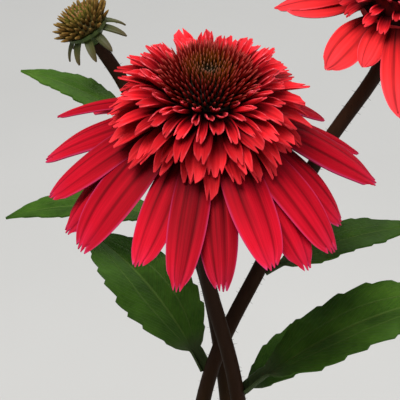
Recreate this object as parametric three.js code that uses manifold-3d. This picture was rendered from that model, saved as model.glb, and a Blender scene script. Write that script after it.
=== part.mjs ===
// A double red coneflower growing in a plain clay pot: a full bloom, a younger bloom and a bud on
// three dark stems, toothed leaves on the stems and round the crown, potting soil, and the pot.
// Millimetres, +Z up. The origin is the middle of the pot's underside, and the full bloom faces -Y.

import * as THREE from "three";
import { mergeVertices } from "three/addons/utils/BufferGeometryUtils.js";
import Module from "manifold-3d";

const wasm = await Module();
wasm.setup();

const { degToRad, lerp, smoothstep } = THREE.MathUtils;

// Driving dimensions
const CLEARANCE = 0.3;
const BLADE_THICKNESS = 0.65;
const POT = {
  height: 160,
  rimRadius: 90,
  rimFoot: 126,
  rimOverhang: 5,
  wall: 8,
  floor: 11,
  baseRadius: 58,
  edge: 2,
  segments: 28,
  drainRadius: 5,
  drainCircle: 32,
  drainHoles: 3,
};
const SOIL = {
  surface: 142,
  relief: 1.6,
  rings: 4,
  segments: 20,
  holeDepth: 18,
  stalkHoleRadius: 5.2,
  stalkHoleOffset: 2.9,
};
const STEM = { footRadius: 2.7, topRadius: 2.1, sides: 8, steps: 14 };

// Three stems, each from its foot in the soil to the bloom that it carries. `lean` tips a bloom's
// axis forward, towards -Y, and to the right, towards +X, in degrees.
const MAIN = { centre: [-8, -6, 425], lean: [9, 2] };
const YOUNG = { centre: [45, 22, 444], lean: [16, 6] };
const BUD = { centre: [-45, 64, 414], lean: [4, -28] };

const vector = (x, y, z) => new THREE.Vector3(x, y, z);

// A repeatable draw from -1 to 1 for the thing numbered `index`; `salt` tells its draws apart.
function draw(index, salt) {
  const noise = Math.sin(index * 12.9898 + salt * 78.233) * 43758.5453;
  return 2 * (noise - Math.floor(noise)) - 1;
}

// Solids: three.js geometry in, three.js geometry out, with manifold-3d joining and cutting
function solidOf(geometry) {
  const bare = geometry.clone();
  bare.deleteAttribute("normal");
  bare.deleteAttribute("uv");
  const merged = mergeVertices(bare, 1e-4);
  return new wasm.Manifold(
    new wasm.Mesh({
      numProp: 3,
      vertProperties: new Float32Array(merged.attributes.position.array),
      triVerts: new Uint32Array(merged.index.array),
    }),
  );
}

function geometryOf(solid) {
  const mesh = solid.getMesh();
  const geometry = new THREE.BufferGeometry();
  geometry.setAttribute("position", new THREE.BufferAttribute(mesh.vertProperties, 3));
  geometry.setIndex(new THREE.BufferAttribute(mesh.triVerts, 1));
  return geometry;
}

// Joins neighbours first, so that no step works on more than it has to, and drops loose scraps.
function fuse(geometries) {
  let solids = geometries.map(solidOf);
  while (solids.length > 1) {
    solids = solids.flatMap((solid, i) => {
      if (i % 2) return [];
      return i + 1 < solids.length ? [solid.add(solids[i + 1])] : [solid];
    });
  }
  const bodies = solids[0].decompose();
  return bodies.reduce((largest, body) => (body.volume() > largest.volume() ? body : largest));
}

// One closed surface from rings of points, each ring turning anticlockwise as seen from the last
function loft(rings) {
  const count = rings[0].length;
  const points = rings.flat();
  const first = points.push(centroid(rings[0])) - 1;
  const last = points.push(centroid(rings.at(-1))) - 1;
  const faces = [];
  for (let i = 0; i + 1 < rings.length; i++) {
    for (let j = 0; j < count; j++) {
      const k = (j + 1) % count;
      const [a, b] = [i * count + j, i * count + k];
      const [c, d] = [a + count, b + count];
      faces.push(a, b, d, a, d, c);
    }
  }
  const end = (rings.length - 1) * count;
  for (let j = 0; j < count; j++) {
    const k = (j + 1) % count;
    faces.push(first, k, j, last, end + j, end + k);
  }
  return indexed(points, faces);
}

function centroid(points) {
  return points.reduce((sum, p) => sum.add(p), vector(0, 0, 0)).divideScalar(points.length);
}

function indexed(points, faces) {
  const geometry = new THREE.BufferGeometry().setFromPoints(points);
  geometry.setIndex(faces);
  return geometry;
}

// A thin blade: `rows` run from root to tip and hold { top, bottom } points from left to right.
// Both faces are split along the same diagonals, so a waved blade never crosses itself.
function blade(rows) {
  const columns = rows[0].length;
  const points = rows.flat().flatMap(({ top, bottom }) => [top, bottom]);
  const top = (row, column) => 2 * (row * columns + column);
  const faces = [];
  for (let i = 0; i + 1 < rows.length; i++) {
    for (let j = 0; j + 1 < columns; j++) {
      const [a, b, c, d] = [top(i, j), top(i, j + 1), top(i + 1, j + 1), top(i + 1, j)];
      faces.push(a, b, c, a, c, d);
      faces.push(a + 1, c + 1, b + 1, a + 1, d + 1, c + 1);
    }
  }
  const rim = [];
  for (let j = 0; j < columns; j++) rim.push(top(0, j));
  for (let i = 1; i < rows.length; i++) rim.push(top(i, columns - 1));
  for (let j = columns - 2; j >= 0; j--) rim.push(top(rows.length - 1, j));
  for (let i = rows.length - 2; i > 0; i--) rim.push(top(i, 0));
  rim.forEach((a, i) => {
    const b = rim[(i + 1) % rim.length];
    faces.push(a + 1, b + 1, b, a + 1, b, a);
  });
  return indexed(points, faces);
}

// A blade's length lies on an arc that leaves at `startTilt` above the horizontal and arrives at
// `endTilt`. Returns the place of a point `x` across, `s` along and `z` above that line, where the
// blade grows out of the upright axis at `root` in the direction `azimuth`.
function onArc({ root, azimuth, startTilt, endTilt, length, sway = 0, roll = 0 }, x, s, z) {
  const rate = (endTilt - startTilt) / length;
  const tilt = startTilt + rate * s;
  const turn = roll * (s / length);
  const across = x * Math.cos(turn) - z * Math.sin(turn) + sway * length * (s / length) ** 2;
  const above = x * Math.sin(turn) + z * Math.cos(turn);
  const out = (Math.sin(tilt) - Math.sin(startTilt)) / rate - above * Math.sin(tilt);
  const up = (Math.cos(startTilt) - Math.cos(tilt)) / rate + above * Math.cos(tilt);
  const [c, w] = [Math.cos(azimuth), Math.sin(azimuth)];
  return vector(root.x + out * c + across * w, root.y + out * w - across * c, root.z + up);
}

// A petal: `outline` lists rows as [share of length, half width, tooth cut], and `relief` gives the
// height of each column, as a share of the half width.
function petal(arc, halfWidth, outline, columns) {
  return blade(
    outline.map(([share, width, teeth]) =>
      columns.map(({ side, height, cut }) => {
        const x = side * width * halfWidth;
        const s = arc.length * (share - (teeth ? cut : 0));
        const z = height * width * halfWidth;
        return {
          top: onArc(arc, x, s, z + BLADE_THICKNESS / 2),
          bottom: onArc(arc, x, s, z - BLADE_THICKNESS / 2),
        };
      }),
    ),
  );
}

// Ray petals: the long drooping ones, with two furrows and three small teeth
const RAY_OUTLINE = [
  [0, 0.3, 0],
  [0.3, 0.8, 0],
  [0.58, 1, 0],
  [0.86, 0.7, 0],
  [1, 0.3, 1],
];
const RAY_COLUMNS = [
  { side: -1, height: -0.26, cut: 0.02 },
  { side: -0.4, height: -0.1, cut: 0.045 },
  { side: 0, height: 0.08, cut: 0 },
  { side: 0.4, height: -0.1, cut: 0.045 },
  { side: 1, height: -0.26, cut: 0.02 },
];
const YOUNG_COLUMNS = [
  { side: -1, height: -0.16, cut: 0.03 },
  { side: 0, height: 0.1, cut: 0.06 },
  { side: 1, height: -0.16, cut: 0 },
];
// Short petals of the double crown: a hollow strap with two teeth and a notch
const STRAP_OUTLINE = [
  [0, 0.36, 0],
  [0.62, 1, 0],
  [1, 0.7, 1],
];
const SHORT_STRAP_OUTLINE = [
  [0, 0.45, 0],
  [1, 0.85, 1],
];
const SHORT_STRAP = 12;
const strapColumns = (cup) => [
  { side: -1, height: cup, cut: 0.02 },
  { side: 0, height: 0, cut: 0.17 },
  { side: 1, height: cup, cut: 0 },
];

// A bloom's parts stack along its own axis: bracts, ray disc, petal crown, cone.
const STACK = { bracts: -7.5, rays: -3.2, crown: 0, cone: 7.4 };

// The full bloom's ray petals: [azimuth from the front, tilt added at the tip, share of length,
// share of width]. Degrees, with the right-hand side positive. Every second ray starts lower, under
// its neighbours.
const MAIN_RAYS = [
  [-118, 4, 1.06, 0.85],
  [-99, 2, 1.06, 1.15],
  [-72.5, 2, 1.0, 1.12],
  [-62.5, -5, 1.03, 1.1],
  [-50, -8, 1.06, 1.25],
  [-23.5, 9, 0.95, 1.0],
  [-8, 3, 1.07, 1.0],
  [6, 5, 1.02, 1.05],
  [24.5, 5, 0.98, 1.3],
  [40.5, -1, 1.03, 1.18],
  [49.5, -5, 1.06, 1.15],
  [68.5, -3, 0.98, 1.12],
  [91, 3, 1.1, 1.3],
  [109.5, 5, 1.08, 1.1],
  [124, 0, 1.0, 1.0],
  [138, -3, 0.97, 1.1],
  [152, 2, 1.0, 0.95],
  [167, 0, 0.98, 1.1],
  [182, -3, 1.0, 1.0],
  [197, 3, 0.97, 1.1],
  [212, -2, 1.0, 0.95],
  [228, 3, 1.0, 1.05],
];
const YOUNG_RAYS = [
  [-109.5, 2, 1.0, 1],
  [-99, 22, 0.78, 1.05],
  [-28, 0, 0.49, 0.95],
  [-50, 2, 0.66, 1.1],
  [2, 6, 0.92, 1.1],
  [24, 4, 0.98, 1],
  [46, 8, 1.0, 1],
  [68, 0, 0.96, 1],
  [90, 6, 1.02, 1],
  [113, -2, 0.97, 1],
  [136, 4, 1.0, 1],
  [158, 0, 0.94, 1],
  [180, 6, 1.0, 1],
  [203, -4, 0.96, 1],
  [229, 6, 1.0, 1],
];

// Rows of the petal crown, from the lowest: number of petals, where they root, how they lean at
// root and tip in degrees, their length, half width, and how far their edges turn up.
const MAIN_ROWS = [
  { count: 17, radius: 11.2, height: 1.0, tilts: [-2, -40], length: 17.6, halfWidth: 2.9, cup: 0.26 },
  { count: 16, radius: 11.2, height: 2.2, tilts: [10, -34], length: 16.4, halfWidth: 2.8, cup: 0.3 },
  { count: 16, radius: 11.0, height: 3.3, tilts: [18, -12], length: 15.6, halfWidth: 2.6, cup: 0.36 },
  { count: 15, radius: 10.6, height: 4.3, tilts: [24, -4], length: 11.8, halfWidth: 2.3, cup: 0.45 },
  { count: 15, radius: 10.4, height: 5.0, tilts: [26, 42], length: 10.2, halfWidth: 1.7, cup: 0.6 },
];
const YOUNG_ROWS = [
  { count: 13, radius: 10.2, height: 1.6, tilts: [8, -24], length: 6.2, halfWidth: 2.2, cup: 0.4 },
  { count: 12, radius: 10.0, height: 3.4, tilts: [24, 4], length: 5, halfWidth: 1.9, cup: 0.5 },
];

const lathe = (profile, segments) =>
  new THREE.LatheGeometry(
    profile.map(([r, z]) => new THREE.Vector2(r, z)),
    segments,
  ).rotateX(Math.PI / 2);

// Every outward azimuth is counted from the front of the bloom, which is its own -Y.
const fromFront = (degrees) => degToRad(degrees - 90);

function rooted(radius, height, azimuth) {
  return vector(radius * Math.cos(azimuth), radius * Math.sin(azimuth), height);
}

function rayNode({ rays, length, halfWidth, columns }, radius) {
  const disc = lathe(
    [
      [0, STACK.rays],
      [radius, STACK.rays],
      [radius, STACK.crown - CLEARANCE],
      [0, STACK.crown - CLEARANCE],
    ],
    14,
  );
  const blades = rays.map(([degrees, extraTilt, share, width], i) => {
    const azimuth = fromFront(degrees);
    const lower = i % 2;
    const arc = {
      root: rooted(radius - 1.4, lower ? -2.4 : -1.1, azimuth),
      azimuth,
      startTilt: degToRad(-16 - 5 * lower),
      endTilt: degToRad(-49 - 3 * lower + extraTilt),
      length: length * share,
      sway: 0.03 * draw(i, 1),
      roll: 0.12 * draw(i, 2),
    };
    return petal(arc, halfWidth * width, RAY_OUTLINE, columns);
  });
  return fuse([disc, ...blades]);
}

function crownNode(rows, radius) {
  const core = lathe(
    [
      [0, STACK.crown],
      [radius + 0.4, STACK.crown],
      [radius + 0.2, STACK.crown + 3],
      [radius - 1.3, STACK.cone - CLEARANCE],
      [0, STACK.cone - CLEARANCE],
    ],
    14,
  );
  const straps = rows.flatMap((row, level) =>
    Array.from({ length: row.count }, (_, i) => {
      const number = 40 * level + i;
      const step = 360 / row.count;
      const azimuth = fromFront(step * (i + 0.5 * (level % 2)) + 0.16 * step * draw(number, 6));
      const arc = {
        root: rooted(row.radius - 2, row.height, azimuth),
        azimuth,
        startTilt: degToRad(row.tilts[0] + 2 * draw(number, 7)),
        endTilt: degToRad(row.tilts[1] + 7 * draw(number, 8)),
        length: row.length * (1 + 0.07 * draw(number, 9)) + 2,
        roll: 0.18 * draw(number, 10),
      };
      const outline = row.length < SHORT_STRAP ? SHORT_STRAP_OUTLINE : STRAP_OUTLINE;
      return petal(arc, row.halfWidth, outline, strapColumns(row.cup));
    }),
  );
  return fuse([core, ...straps]);
}

// A three-sided spine along `direction` from `foot`
function spine(foot, direction, length, radius) {
  const turn = new THREE.Quaternion().setFromUnitVectors(vector(0, 0, 1), direction);
  const place = (x, y, z) => vector(x, y, z).applyQuaternion(turn).add(foot);
  const corners = [0, 1, 2].map((k) => {
    const angle = (k * 2 * Math.PI) / 3;
    return place(radius * Math.cos(angle), radius * Math.sin(angle), 0);
  });
  return indexed([...corners, place(0, 0, length)], [0, 2, 1, 0, 1, 3, 1, 2, 3, 2, 0, 3]);
}

// Spines stand out of a domed core in the sunflower's pattern, leaning out more towards its edge.
function coneNode({ radius, foot, rise, spines, spineLength, spineRadius, lean }) {
  const surface = (r) => foot + 1 + (rise - 1) * (1 - (r / radius) ** 2);
  const profile = [1, 0.75, 0.4, 0].map((share) => [share * radius, surface(share * radius)]);
  const core = lathe([[0, foot], [radius, foot], ...profile], 12);
  const goldenAngle = Math.PI * (3 - Math.sqrt(5));
  const needles = Array.from({ length: spines }, (_, i) => {
    const share = Math.sqrt((i + 0.5) / spines);
    const r = 0.92 * radius * share;
    const azimuth = i * goldenAngle;
    const tilt = degToRad(lerp(4, lean, share) + 3 * draw(i, 11));
    const direction = vector(
      Math.sin(tilt) * Math.cos(azimuth),
      Math.sin(tilt) * Math.sin(azimuth),
      Math.cos(tilt),
    );
    const root = rooted(r, surface(r) - 1.2, azimuth);
    const length = 1.2 + spineLength * lerp(0.32, 1, smoothstep(share, 0.1, 0.8));
    return spine(root, direction, length, spineRadius);
  });
  return fuse([core, ...needles]);
}

// Green bracts under a bloom, spreading from the flare at the stem's end
function bractNode({ radius, foot, top, rows, count, length }) {
  const cup = lathe(
    [
      [0, foot],
      [2.3, foot],
      [3.4, foot + 0.3 * (top - foot)],
      [radius, top - 1],
      [radius, top],
      [0, top],
    ],
    12,
  );
  const bracts = Array.from({ length: rows * count }, (_, i) => {
    const level = Math.floor(i / count);
    const azimuth = fromFront((360 * (i + 0.5 * level)) / count + 5 * draw(i, 12));
    const arc = {
      root: rooted(radius - 3.2 - level, top - 1.3 - 1.2 * level, azimuth),
      azimuth,
      startTilt: degToRad(-24 - 10 * level),
      endTilt: degToRad(-62 - 12 * level + 8 * draw(i, 13)),
      length: length * (1 + 0.1 * draw(i, 14)) + 3,
    };
    const columns = [
      { side: -1, height: 0.1, cut: 0 },
      { side: 1, height: 0.1, cut: 0 },
    ];
    return petal(arc, 1.25, [[0, 0.8, 0], [0.45, 1, 0], [1, 0.2, 0]], columns);
  });
  return fuse([cup, ...bracts]);
}

// A round stem along a smooth curve, a little thinner at the top
function stemAlong(points) {
  const curve = new THREE.CatmullRomCurve3(points);
  const frames = curve.computeFrenetFrames(STEM.steps);
  const rings = frames.tangents.map((_, i) => {
    const share = i / STEM.steps;
    const centre = curve.getPointAt(share);
    const radius = lerp(STEM.footRadius, STEM.topRadius, share);
    return Array.from({ length: STEM.sides }, (_, k) => {
      const angle = (k * 2 * Math.PI) / STEM.sides;
      return centre
        .clone()
        .addScaledVector(frames.normals[i], radius * Math.cos(angle))
        .addScaledVector(frames.binormals[i], radius * Math.sin(angle));
    });
  });
  return { curve, geometry: loft(rings) };
}

// Leaves: a petiole and a toothed blade in one piece, folded a little along its rib
const LEAF = { petioleHalf: 1.7, petioleDepth: 2.2, thickness: 0.7, fold: 0.16, toothCut: 0.12 };

// Half width of a blade at `share` of its length: egg-shaped, and drawn out to a point
function bladeWidth(share) {
  return Math.max(0.05, Math.sin(Math.PI * share ** 0.78) ** 0.85);
}

function leaf(arc, { petiole, halfWidth, rows, columns }) {
  const sides = Array.from({ length: columns }, (_, j) => (2 * j) / (columns - 1) - 1);
  const stations = [];
  if (petiole > 0) stations.push([0, 0, 0], [petiole * 0.5, 0, 0]);
  for (let i = 0; i <= rows; i++) {
    const share = i / rows;
    const tooth = i % 2 && i < rows ? 0 : LEAF.toothCut;
    stations.push([lerp(petiole, 1, share), share, tooth]);
  }
  return blade(
    stations.map(([place, share, tooth]) =>
      sides.map((side) => {
        const width = bladeWidth(share) * halfWidth;
        const edge = Math.abs(side) === 1 ? 1 - tooth : 1;
        const half = Math.max(width * edge, LEAF.petioleHalf * (1 - 0.8 * share));
        const x = side * half;
        const s = arc.length * place;
        const bow = 1 - Math.abs(side) * 0.35;
        const wave = 0.05 * halfWidth * Math.sin(share * 16 + side) * side * side;
        const z = LEAF.fold * Math.abs(x) * bow + (share > 0 ? wave * bladeWidth(share) : 0);
        const depth = lerp(LEAF.petioleDepth, LEAF.thickness, smoothstep(share, 0, 0.25));
        return {
          top: onArc(arc, x, s, z + LEAF.thickness / 2),
          bottom: onArc(arc, x, s, z + LEAF.thickness / 2 - depth),
        };
      }),
    ),
  );
}

// Leaves round the crown: [azimuth, length, half width, tilt at the tip], in degrees and millimetres
const CROWN = { radius: 30, centre: [0, 5], startTilt: 80, petiole: 0.34 };
const CROWN_LEAVES = [
  [20, 150, 23, -38],
  [72, 138, 22, -30],
  [128, 146, 23, -40],
  [176, 150, 22, -34],
  [232, 132, 21, -42],
  [278, 128, 20, -46],
  [322, 142, 22, -36],
];
// Leaves up the stems: [share of the stem, azimuth, tilts at root and tip, length, half width]
const LEAF_SEAT = 0.8;
const STEM_LEAVES = {
  main: [
    [0.34, -60, 38, -34, 88, 13],
    [0.52, 215, 40, -26, 76, 12],
    [0.68, 14, 42, -8, 80, 14],
  ],
  young: [
    [0.32, 150, 36, -30, 88, 13],
    [0.6, 126, 42, -6, 66, 14],
    [0.72, 18, 26, -14, 54, 9],
  ],
  bud: [
    [0.34, 84, 36, -30, 80, 13],
    [0.56, 30, 40, -20, 66, 11],
    [0.78, 186, 30, -16, 56, 10],
    [0.9, 160, 30, 4, 40, 7],
  ],
};

// Nodes
const root = new THREE.Group();
root.name = "potted_coneflower";
const materials = {
  clay: new THREE.MeshStandardMaterial({ color: 0xb0653f, roughness: 0.9 }),
  soil: new THREE.MeshStandardMaterial({ color: 0x2b1d14, roughness: 1 }),
  stem: new THREE.MeshStandardMaterial({ color: 0x3a1d18, roughness: 0.6 }),
  leaf: new THREE.MeshStandardMaterial({ color: 0x2c5a26, roughness: 0.6 }),
  bracts: new THREE.MeshStandardMaterial({ color: 0x4a6b2a, roughness: 0.6 }),
  bud: new THREE.MeshStandardMaterial({ color: 0x6d6a2c, roughness: 0.6 }),
  rays: new THREE.MeshStandardMaterial({ color: 0xb8152a, roughness: 0.5 }),
  crown: new THREE.MeshStandardMaterial({ color: 0xdb2424, roughness: 0.5 }),
  cone: new THREE.MeshStandardMaterial({ color: 0x7c2412, roughness: 0.5 }),
};

function addNode(parent, name, geometry, material) {
  const mesh = new THREE.Mesh(geometry, material);
  mesh.name = name;
  parent.add(mesh);
  return mesh;
}

function bloomGroup(name, { centre, lean }) {
  const group = new THREE.Group();
  group.name = name;
  group.position.set(...centre);
  group.rotation.set(degToRad(lean[0]), degToRad(lean[1]), 0);
  group.updateMatrixWorld(true);
  root.add(group);
  return group;
}

// The pot, with its rim band, tapered wall and drain holes
const innerFoot = POT.baseRadius - POT.wall + 1;
const innerTop = POT.rimRadius - POT.wall;
const innerRadius = (z) => lerp(innerFoot, innerTop, (z - POT.floor) / (POT.height - POT.floor));
const wallTop = POT.rimRadius - POT.rimOverhang - 4;
function potSolid() {
  const shell = lathe(
    [
      [0, 0],
      [POT.baseRadius - POT.edge, 0],
      [POT.baseRadius, POT.edge],
      [wallTop, POT.rimFoot],
      [wallTop + POT.rimOverhang, POT.rimFoot + POT.edge],
      [POT.rimRadius, POT.height - POT.edge],
      [POT.rimRadius - POT.edge, POT.height],
      [innerTop + POT.edge, POT.height],
      [innerTop, POT.height - POT.edge],
      [innerFoot, POT.floor],
      [0, POT.floor],
    ],
    POT.segments,
  );
  let pot = solidOf(shell);
  for (let i = 0; i < POT.drainHoles; i++) {
    const angle = (i * 2 * Math.PI) / POT.drainHoles;
    const drill = new THREE.CylinderGeometry(POT.drainRadius, POT.drainRadius, 3 * POT.floor, 10);
    drill.rotateX(Math.PI / 2);
    drill.translate(POT.drainCircle * Math.cos(angle), POT.drainCircle * Math.sin(angle), 0);
    pot = pot.subtract(solidOf(drill));
  }
  return pot;
}
addNode(root, "pot", geometryOf(potSolid()), materials.clay);

// Stems
const bloomGroups = {
  main: bloomGroup("main_bloom", MAIN),
  young: bloomGroup("young_bloom", YOUNG),
  bud: bloomGroup("bud", BUD),
};
const BUD_FOOT = -6;
const stemEnd = { main: STACK.bracts, young: STACK.bracts, bud: BUD_FOOT };
const holeFloor = SOIL.surface - SOIL.holeDepth;
const STEM_ROUTES = {
  main: [[14, -4, 160], [11, -5, 240], [0.5, -4, 330], [-8.5, -3.5, 372]],
  young: [[-14, 6, 160], [-15, 7, 240], [-7, 9, 321], [9, 15, 360], [27, 27, 393]],
  bud: [[2, 18, 160], [2, 24, 250], [-7, 42, 330], [-24, 58, 374]],
};
const STRAIGHT_END = 18;
const stems = {};
for (const [name, route] of Object.entries(STEM_ROUTES)) {
  const [x, y] = route[0];
  const foot = vector(x, y, holeFloor + CLEARANCE);
  const [neck, end] = [STRAIGHT_END, 0].map((below) =>
    bloomGroups[name].localToWorld(vector(0, 0, stemEnd[name] - CLEARANCE - below)),
  );
  const points = [foot, ...route.map((p) => vector(...p)), neck, end];
  stems[name] = stemAlong(points);
  addNode(root, `${name}_stem`, stems[name].geometry, materials.stem);
}

// Leaves up the stems, each a hair clear of the stem that bears it
for (const [name, leaves] of Object.entries(STEM_LEAVES)) {
  leaves.forEach(([share, azimuth, startTilt, endTilt, length, halfWidth], i) => {
    const direction = degToRad(azimuth);
    const stemRadius = lerp(STEM.footRadius, STEM.topRadius, share);
    const start = stems[name].curve.getPointAt(share);
    const tangent = stems[name].curve.getTangentAt(share);
    const outward = vector(Math.cos(direction), Math.sin(direction), 0);
    outward.addScaledVector(tangent, -outward.dot(tangent)).normalize();
    start.addScaledVector(outward, stemRadius + LEAF_SEAT);
    const arc = {
      root: start,
      azimuth: direction,
      startTilt: degToRad(startTilt),
      endTilt: degToRad(endTilt),
      length,
      sway: 0.05 * draw(i, 15),
      roll: 0.2 * draw(i + length, 16),
    };
    const shape = { petiole: 0.1, halfWidth, rows: 9, columns: 3 };
    addNode(root, `${name}_leaf_${i + 1}`, leaf(arc, shape), materials.leaf);
  });
}

// Leaves round the crown, standing in the soil
const crownArcs = CROWN_LEAVES.map(([azimuth, length, , endTilt], i) => {
  const direction = degToRad(azimuth);
  const offset = CROWN.radius - 4 * (i % 2);
  const x = CROWN.centre[0] + offset * Math.cos(direction);
  const y = CROWN.centre[1] + offset * Math.sin(direction);
  return {
    root: vector(x, y, holeFloor + 4),
    azimuth: direction,
    startTilt: degToRad(CROWN.startTilt),
    endTilt: degToRad(endTilt),
    length,
    sway: 0.08 * draw(i, 17),
    roll: 0.25 * draw(i, 18),
  };
});
crownArcs.forEach((arc, i) => {
  const shape = { petiole: CROWN.petiole, halfWidth: CROWN_LEAVES[i][2], rows: 9, columns: 5 };
  addNode(root, `crown_leaf_${i + 1}`, leaf(arc, shape), materials.leaf);
});

// Soil: a plug inside the pot, uneven on top, with a plain hole for each stem and leaf stalk
function soilSurface(x, y) {
  const lumps = Math.sin(x * 0.21 + 1.3) * Math.cos(y * 0.19) + 0.6 * Math.sin(x * 0.47 - y * 0.39);
  return SOIL.surface + (SOIL.relief * lumps) / 1.6;
}
function soilSolid() {
  const rings = [];
  const foot = POT.floor + CLEARANCE;
  const ring = (radius, height) =>
    Array.from({ length: SOIL.segments }, (_, k) => {
      const angle = (k * 2 * Math.PI) / SOIL.segments;
      const [x, y] = [radius * Math.cos(angle), radius * Math.sin(angle)];
      return vector(x, y, height ?? soilSurface(x, y));
    });
  const clear = 1 - 0.006;
  rings.push(ring((innerRadius(foot) - CLEARANCE) * clear, foot));
  const rim = (innerRadius(SOIL.surface - SOIL.relief) - CLEARANCE) * clear;
  for (let i = SOIL.rings; i > 0; i--) rings.push(ring((rim * i) / SOIL.rings));
  let plug = solidOf(loft(rings));
  const drill = (radius, x, y) => {
    const bit = new THREE.CylinderGeometry(radius, radius, 2 * SOIL.holeDepth, 8);
    return solidOf(bit.rotateX(Math.PI / 2).translate(x, y, SOIL.surface));
  };
  for (const [[x, y]] of Object.values(STEM_ROUTES)) {
    plug = plug.subtract(drill(STEM.footRadius / Math.cos(Math.PI / 8) + 2 * CLEARANCE, x, y));
  }
  for (const { root: foot, azimuth } of crownArcs) {
    const x = foot.x + SOIL.stalkHoleOffset * Math.cos(azimuth);
    const y = foot.y + SOIL.stalkHoleOffset * Math.sin(azimuth);
    plug = plug.subtract(drill(SOIL.stalkHoleRadius, x, y));
  }
  return plug;
}
addNode(root, "soil", geometryOf(soilSolid()), materials.soil);

// The two open blooms: bracts, ray disc, petal crown and cone, stacked along each bloom's axis
function addBloom(name, { receptacle, bracts, rays, rows, cone }) {
  const group = bloomGroups[name];
  const bractSize = { foot: STACK.bracts, top: STACK.rays - CLEARANCE, radius: receptacle - 1 };
  const parts = {
    bracts: bractNode({ ...bractSize, ...bracts }),
    rays: rayNode(rays, receptacle),
    crown: crownNode(rows, receptacle),
    cone: coneNode({ foot: STACK.cone, ...cone }),
  };
  for (const [part, solid] of Object.entries(parts)) {
    addNode(group, `${name}_bloom_${part}`, geometryOf(solid), materials[part]);
  }
}
addBloom("main", {
  receptacle: 11,
  bracts: { rows: 2, count: 9, length: 8 },
  rays: { rays: MAIN_RAYS, length: 42, halfWidth: 5.3, columns: RAY_COLUMNS },
  rows: MAIN_ROWS,
  cone: { radius: 10.2, rise: 7, spines: 120, spineLength: 5.4, spineRadius: 0.75, lean: 56 },
});
addBloom("young", {
  receptacle: 10,
  bracts: { rows: 1, count: 10, length: 7 },
  rays: { rays: YOUNG_RAYS, length: 30, halfWidth: 5, columns: YOUNG_COLUMNS },
  rows: YOUNG_ROWS,
  cone: { radius: 8.4, rise: 5, spines: 60, spineLength: 4.4, spineRadius: 0.75, lean: 40 },
});

// The bud: a green cup of bracts under a tight button of florets
const BUD_SIZE = { radius: 7, top: 0 };
addNode(
  bloomGroups.bud,
  "bud_bracts",
  geometryOf(
    bractNode({
      radius: BUD_SIZE.radius,
      foot: BUD_FOOT,
      top: BUD_SIZE.top,
      rows: 1,
      count: 10,
      length: 6,
    }),
  ),
  materials.bracts,
);
addNode(
  bloomGroups.bud,
  "bud_florets",
  geometryOf(
    coneNode({
      radius: BUD_SIZE.radius,
      foot: BUD_SIZE.top + CLEARANCE,
      rise: 5,
      spines: 40,
      spineLength: 3,
      spineRadius: 0.9,
      lean: 60,
    }),
  ),
  materials.bud,
);

export default root;
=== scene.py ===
# %% [markdown]
# # A potted coneflower
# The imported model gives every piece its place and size. This script keeps that frame and makes each
# piece again as it grows: long ray petals with furrows and teeth, a crown of short hollow petals, a
# cone of spines, veined leaves, stems with fine hairs, crumbly soil and a weathered clay pot.
# Lengths are worked out in millimetres and written in metres, because Blender's unit is the metre.

# %% The frame and the first helpers
import math

import bmesh
import bpy
import numpy as np
from mathutils import Matrix, Vector, noise


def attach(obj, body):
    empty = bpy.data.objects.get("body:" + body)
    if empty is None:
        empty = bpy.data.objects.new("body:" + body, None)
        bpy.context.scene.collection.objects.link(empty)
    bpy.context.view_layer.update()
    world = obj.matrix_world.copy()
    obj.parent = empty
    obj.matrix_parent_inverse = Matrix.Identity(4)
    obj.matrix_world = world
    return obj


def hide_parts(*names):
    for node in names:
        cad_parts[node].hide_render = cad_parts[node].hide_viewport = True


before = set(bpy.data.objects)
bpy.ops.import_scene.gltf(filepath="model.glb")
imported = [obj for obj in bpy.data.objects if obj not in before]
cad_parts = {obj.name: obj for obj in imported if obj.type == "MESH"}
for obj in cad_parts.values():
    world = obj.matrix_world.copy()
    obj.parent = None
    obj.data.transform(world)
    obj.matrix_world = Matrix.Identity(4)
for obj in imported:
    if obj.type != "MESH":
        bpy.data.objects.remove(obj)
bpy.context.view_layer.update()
bpy.ops.object.select_all(action="DESELECT")

MM = 0.001
scene = bpy.context.scene


def draw(index, salt):
    """A repeatable draw from -1 to 1 for the thing numbered index; salt tells its draws apart."""
    value = math.sin(index * 12.9898 + salt * 78.233) * 43758.5453
    return 2 * (value - math.floor(value)) - 1


print("nodes in the frame:", len(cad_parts))

# %% [markdown]
# ## Camera
# The bloom was photographed through a long lens from a standing person's height. So the camera is
# far off with a narrow angle, tipped down 33 degrees, and aimed so that the full bloom's centre
# comes out where it is in the photo. A long lens keeps near and far petals in the same proportion.

# %% The camera
PICTURE = 400
BLOOM_PIXEL = (207, 110)
MM_PER_PIXEL = 0.272
CAMERA_DISTANCE = 500.0
CAMERA_TILT = math.radians(33)
MAIN_CENTRE = Vector((-8, -6, 425))

gaze = Vector((0, math.cos(CAMERA_TILT), -math.sin(CAMERA_TILT)))
rightward = Vector((1, 0, 0))
upward = rightward.cross(gaze)
aim = (
    MAIN_CENTRE
    - rightward * (BLOOM_PIXEL[0] - PICTURE / 2) * MM_PER_PIXEL
    - upward * (PICTURE / 2 - BLOOM_PIXEL[1]) * MM_PER_PIXEL
)
bpy.ops.object.camera_add(location=(aim - gaze * CAMERA_DISTANCE) * MM)
camera = bpy.context.object
camera.name = "camera"
camera.rotation_euler = gaze.to_track_quat("-Z", "Y").to_euler()
camera.data.angle = 2 * math.atan(PICTURE / 2 * MM_PER_PIXEL / CAMERA_DISTANCE)
camera.data.clip_start = 0.01
camera.data.clip_end = 50
scene.camera = camera
scene.view_settings.view_transform = "Standard"
print("camera angle:", round(math.degrees(camera.data.angle), 2), "degrees")

# %% [markdown]
# ## Light and floor
# The day was overcast: the petals have soft shadows, and a little more light comes from the upper
# left. A sun lamp would give hard edges, so a wide lamp hangs overhead, a little to the left and in
# front. Two weaker ones, in front on the right and behind, keep the shadows soft, and the floor is
# plain and pale.

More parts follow.
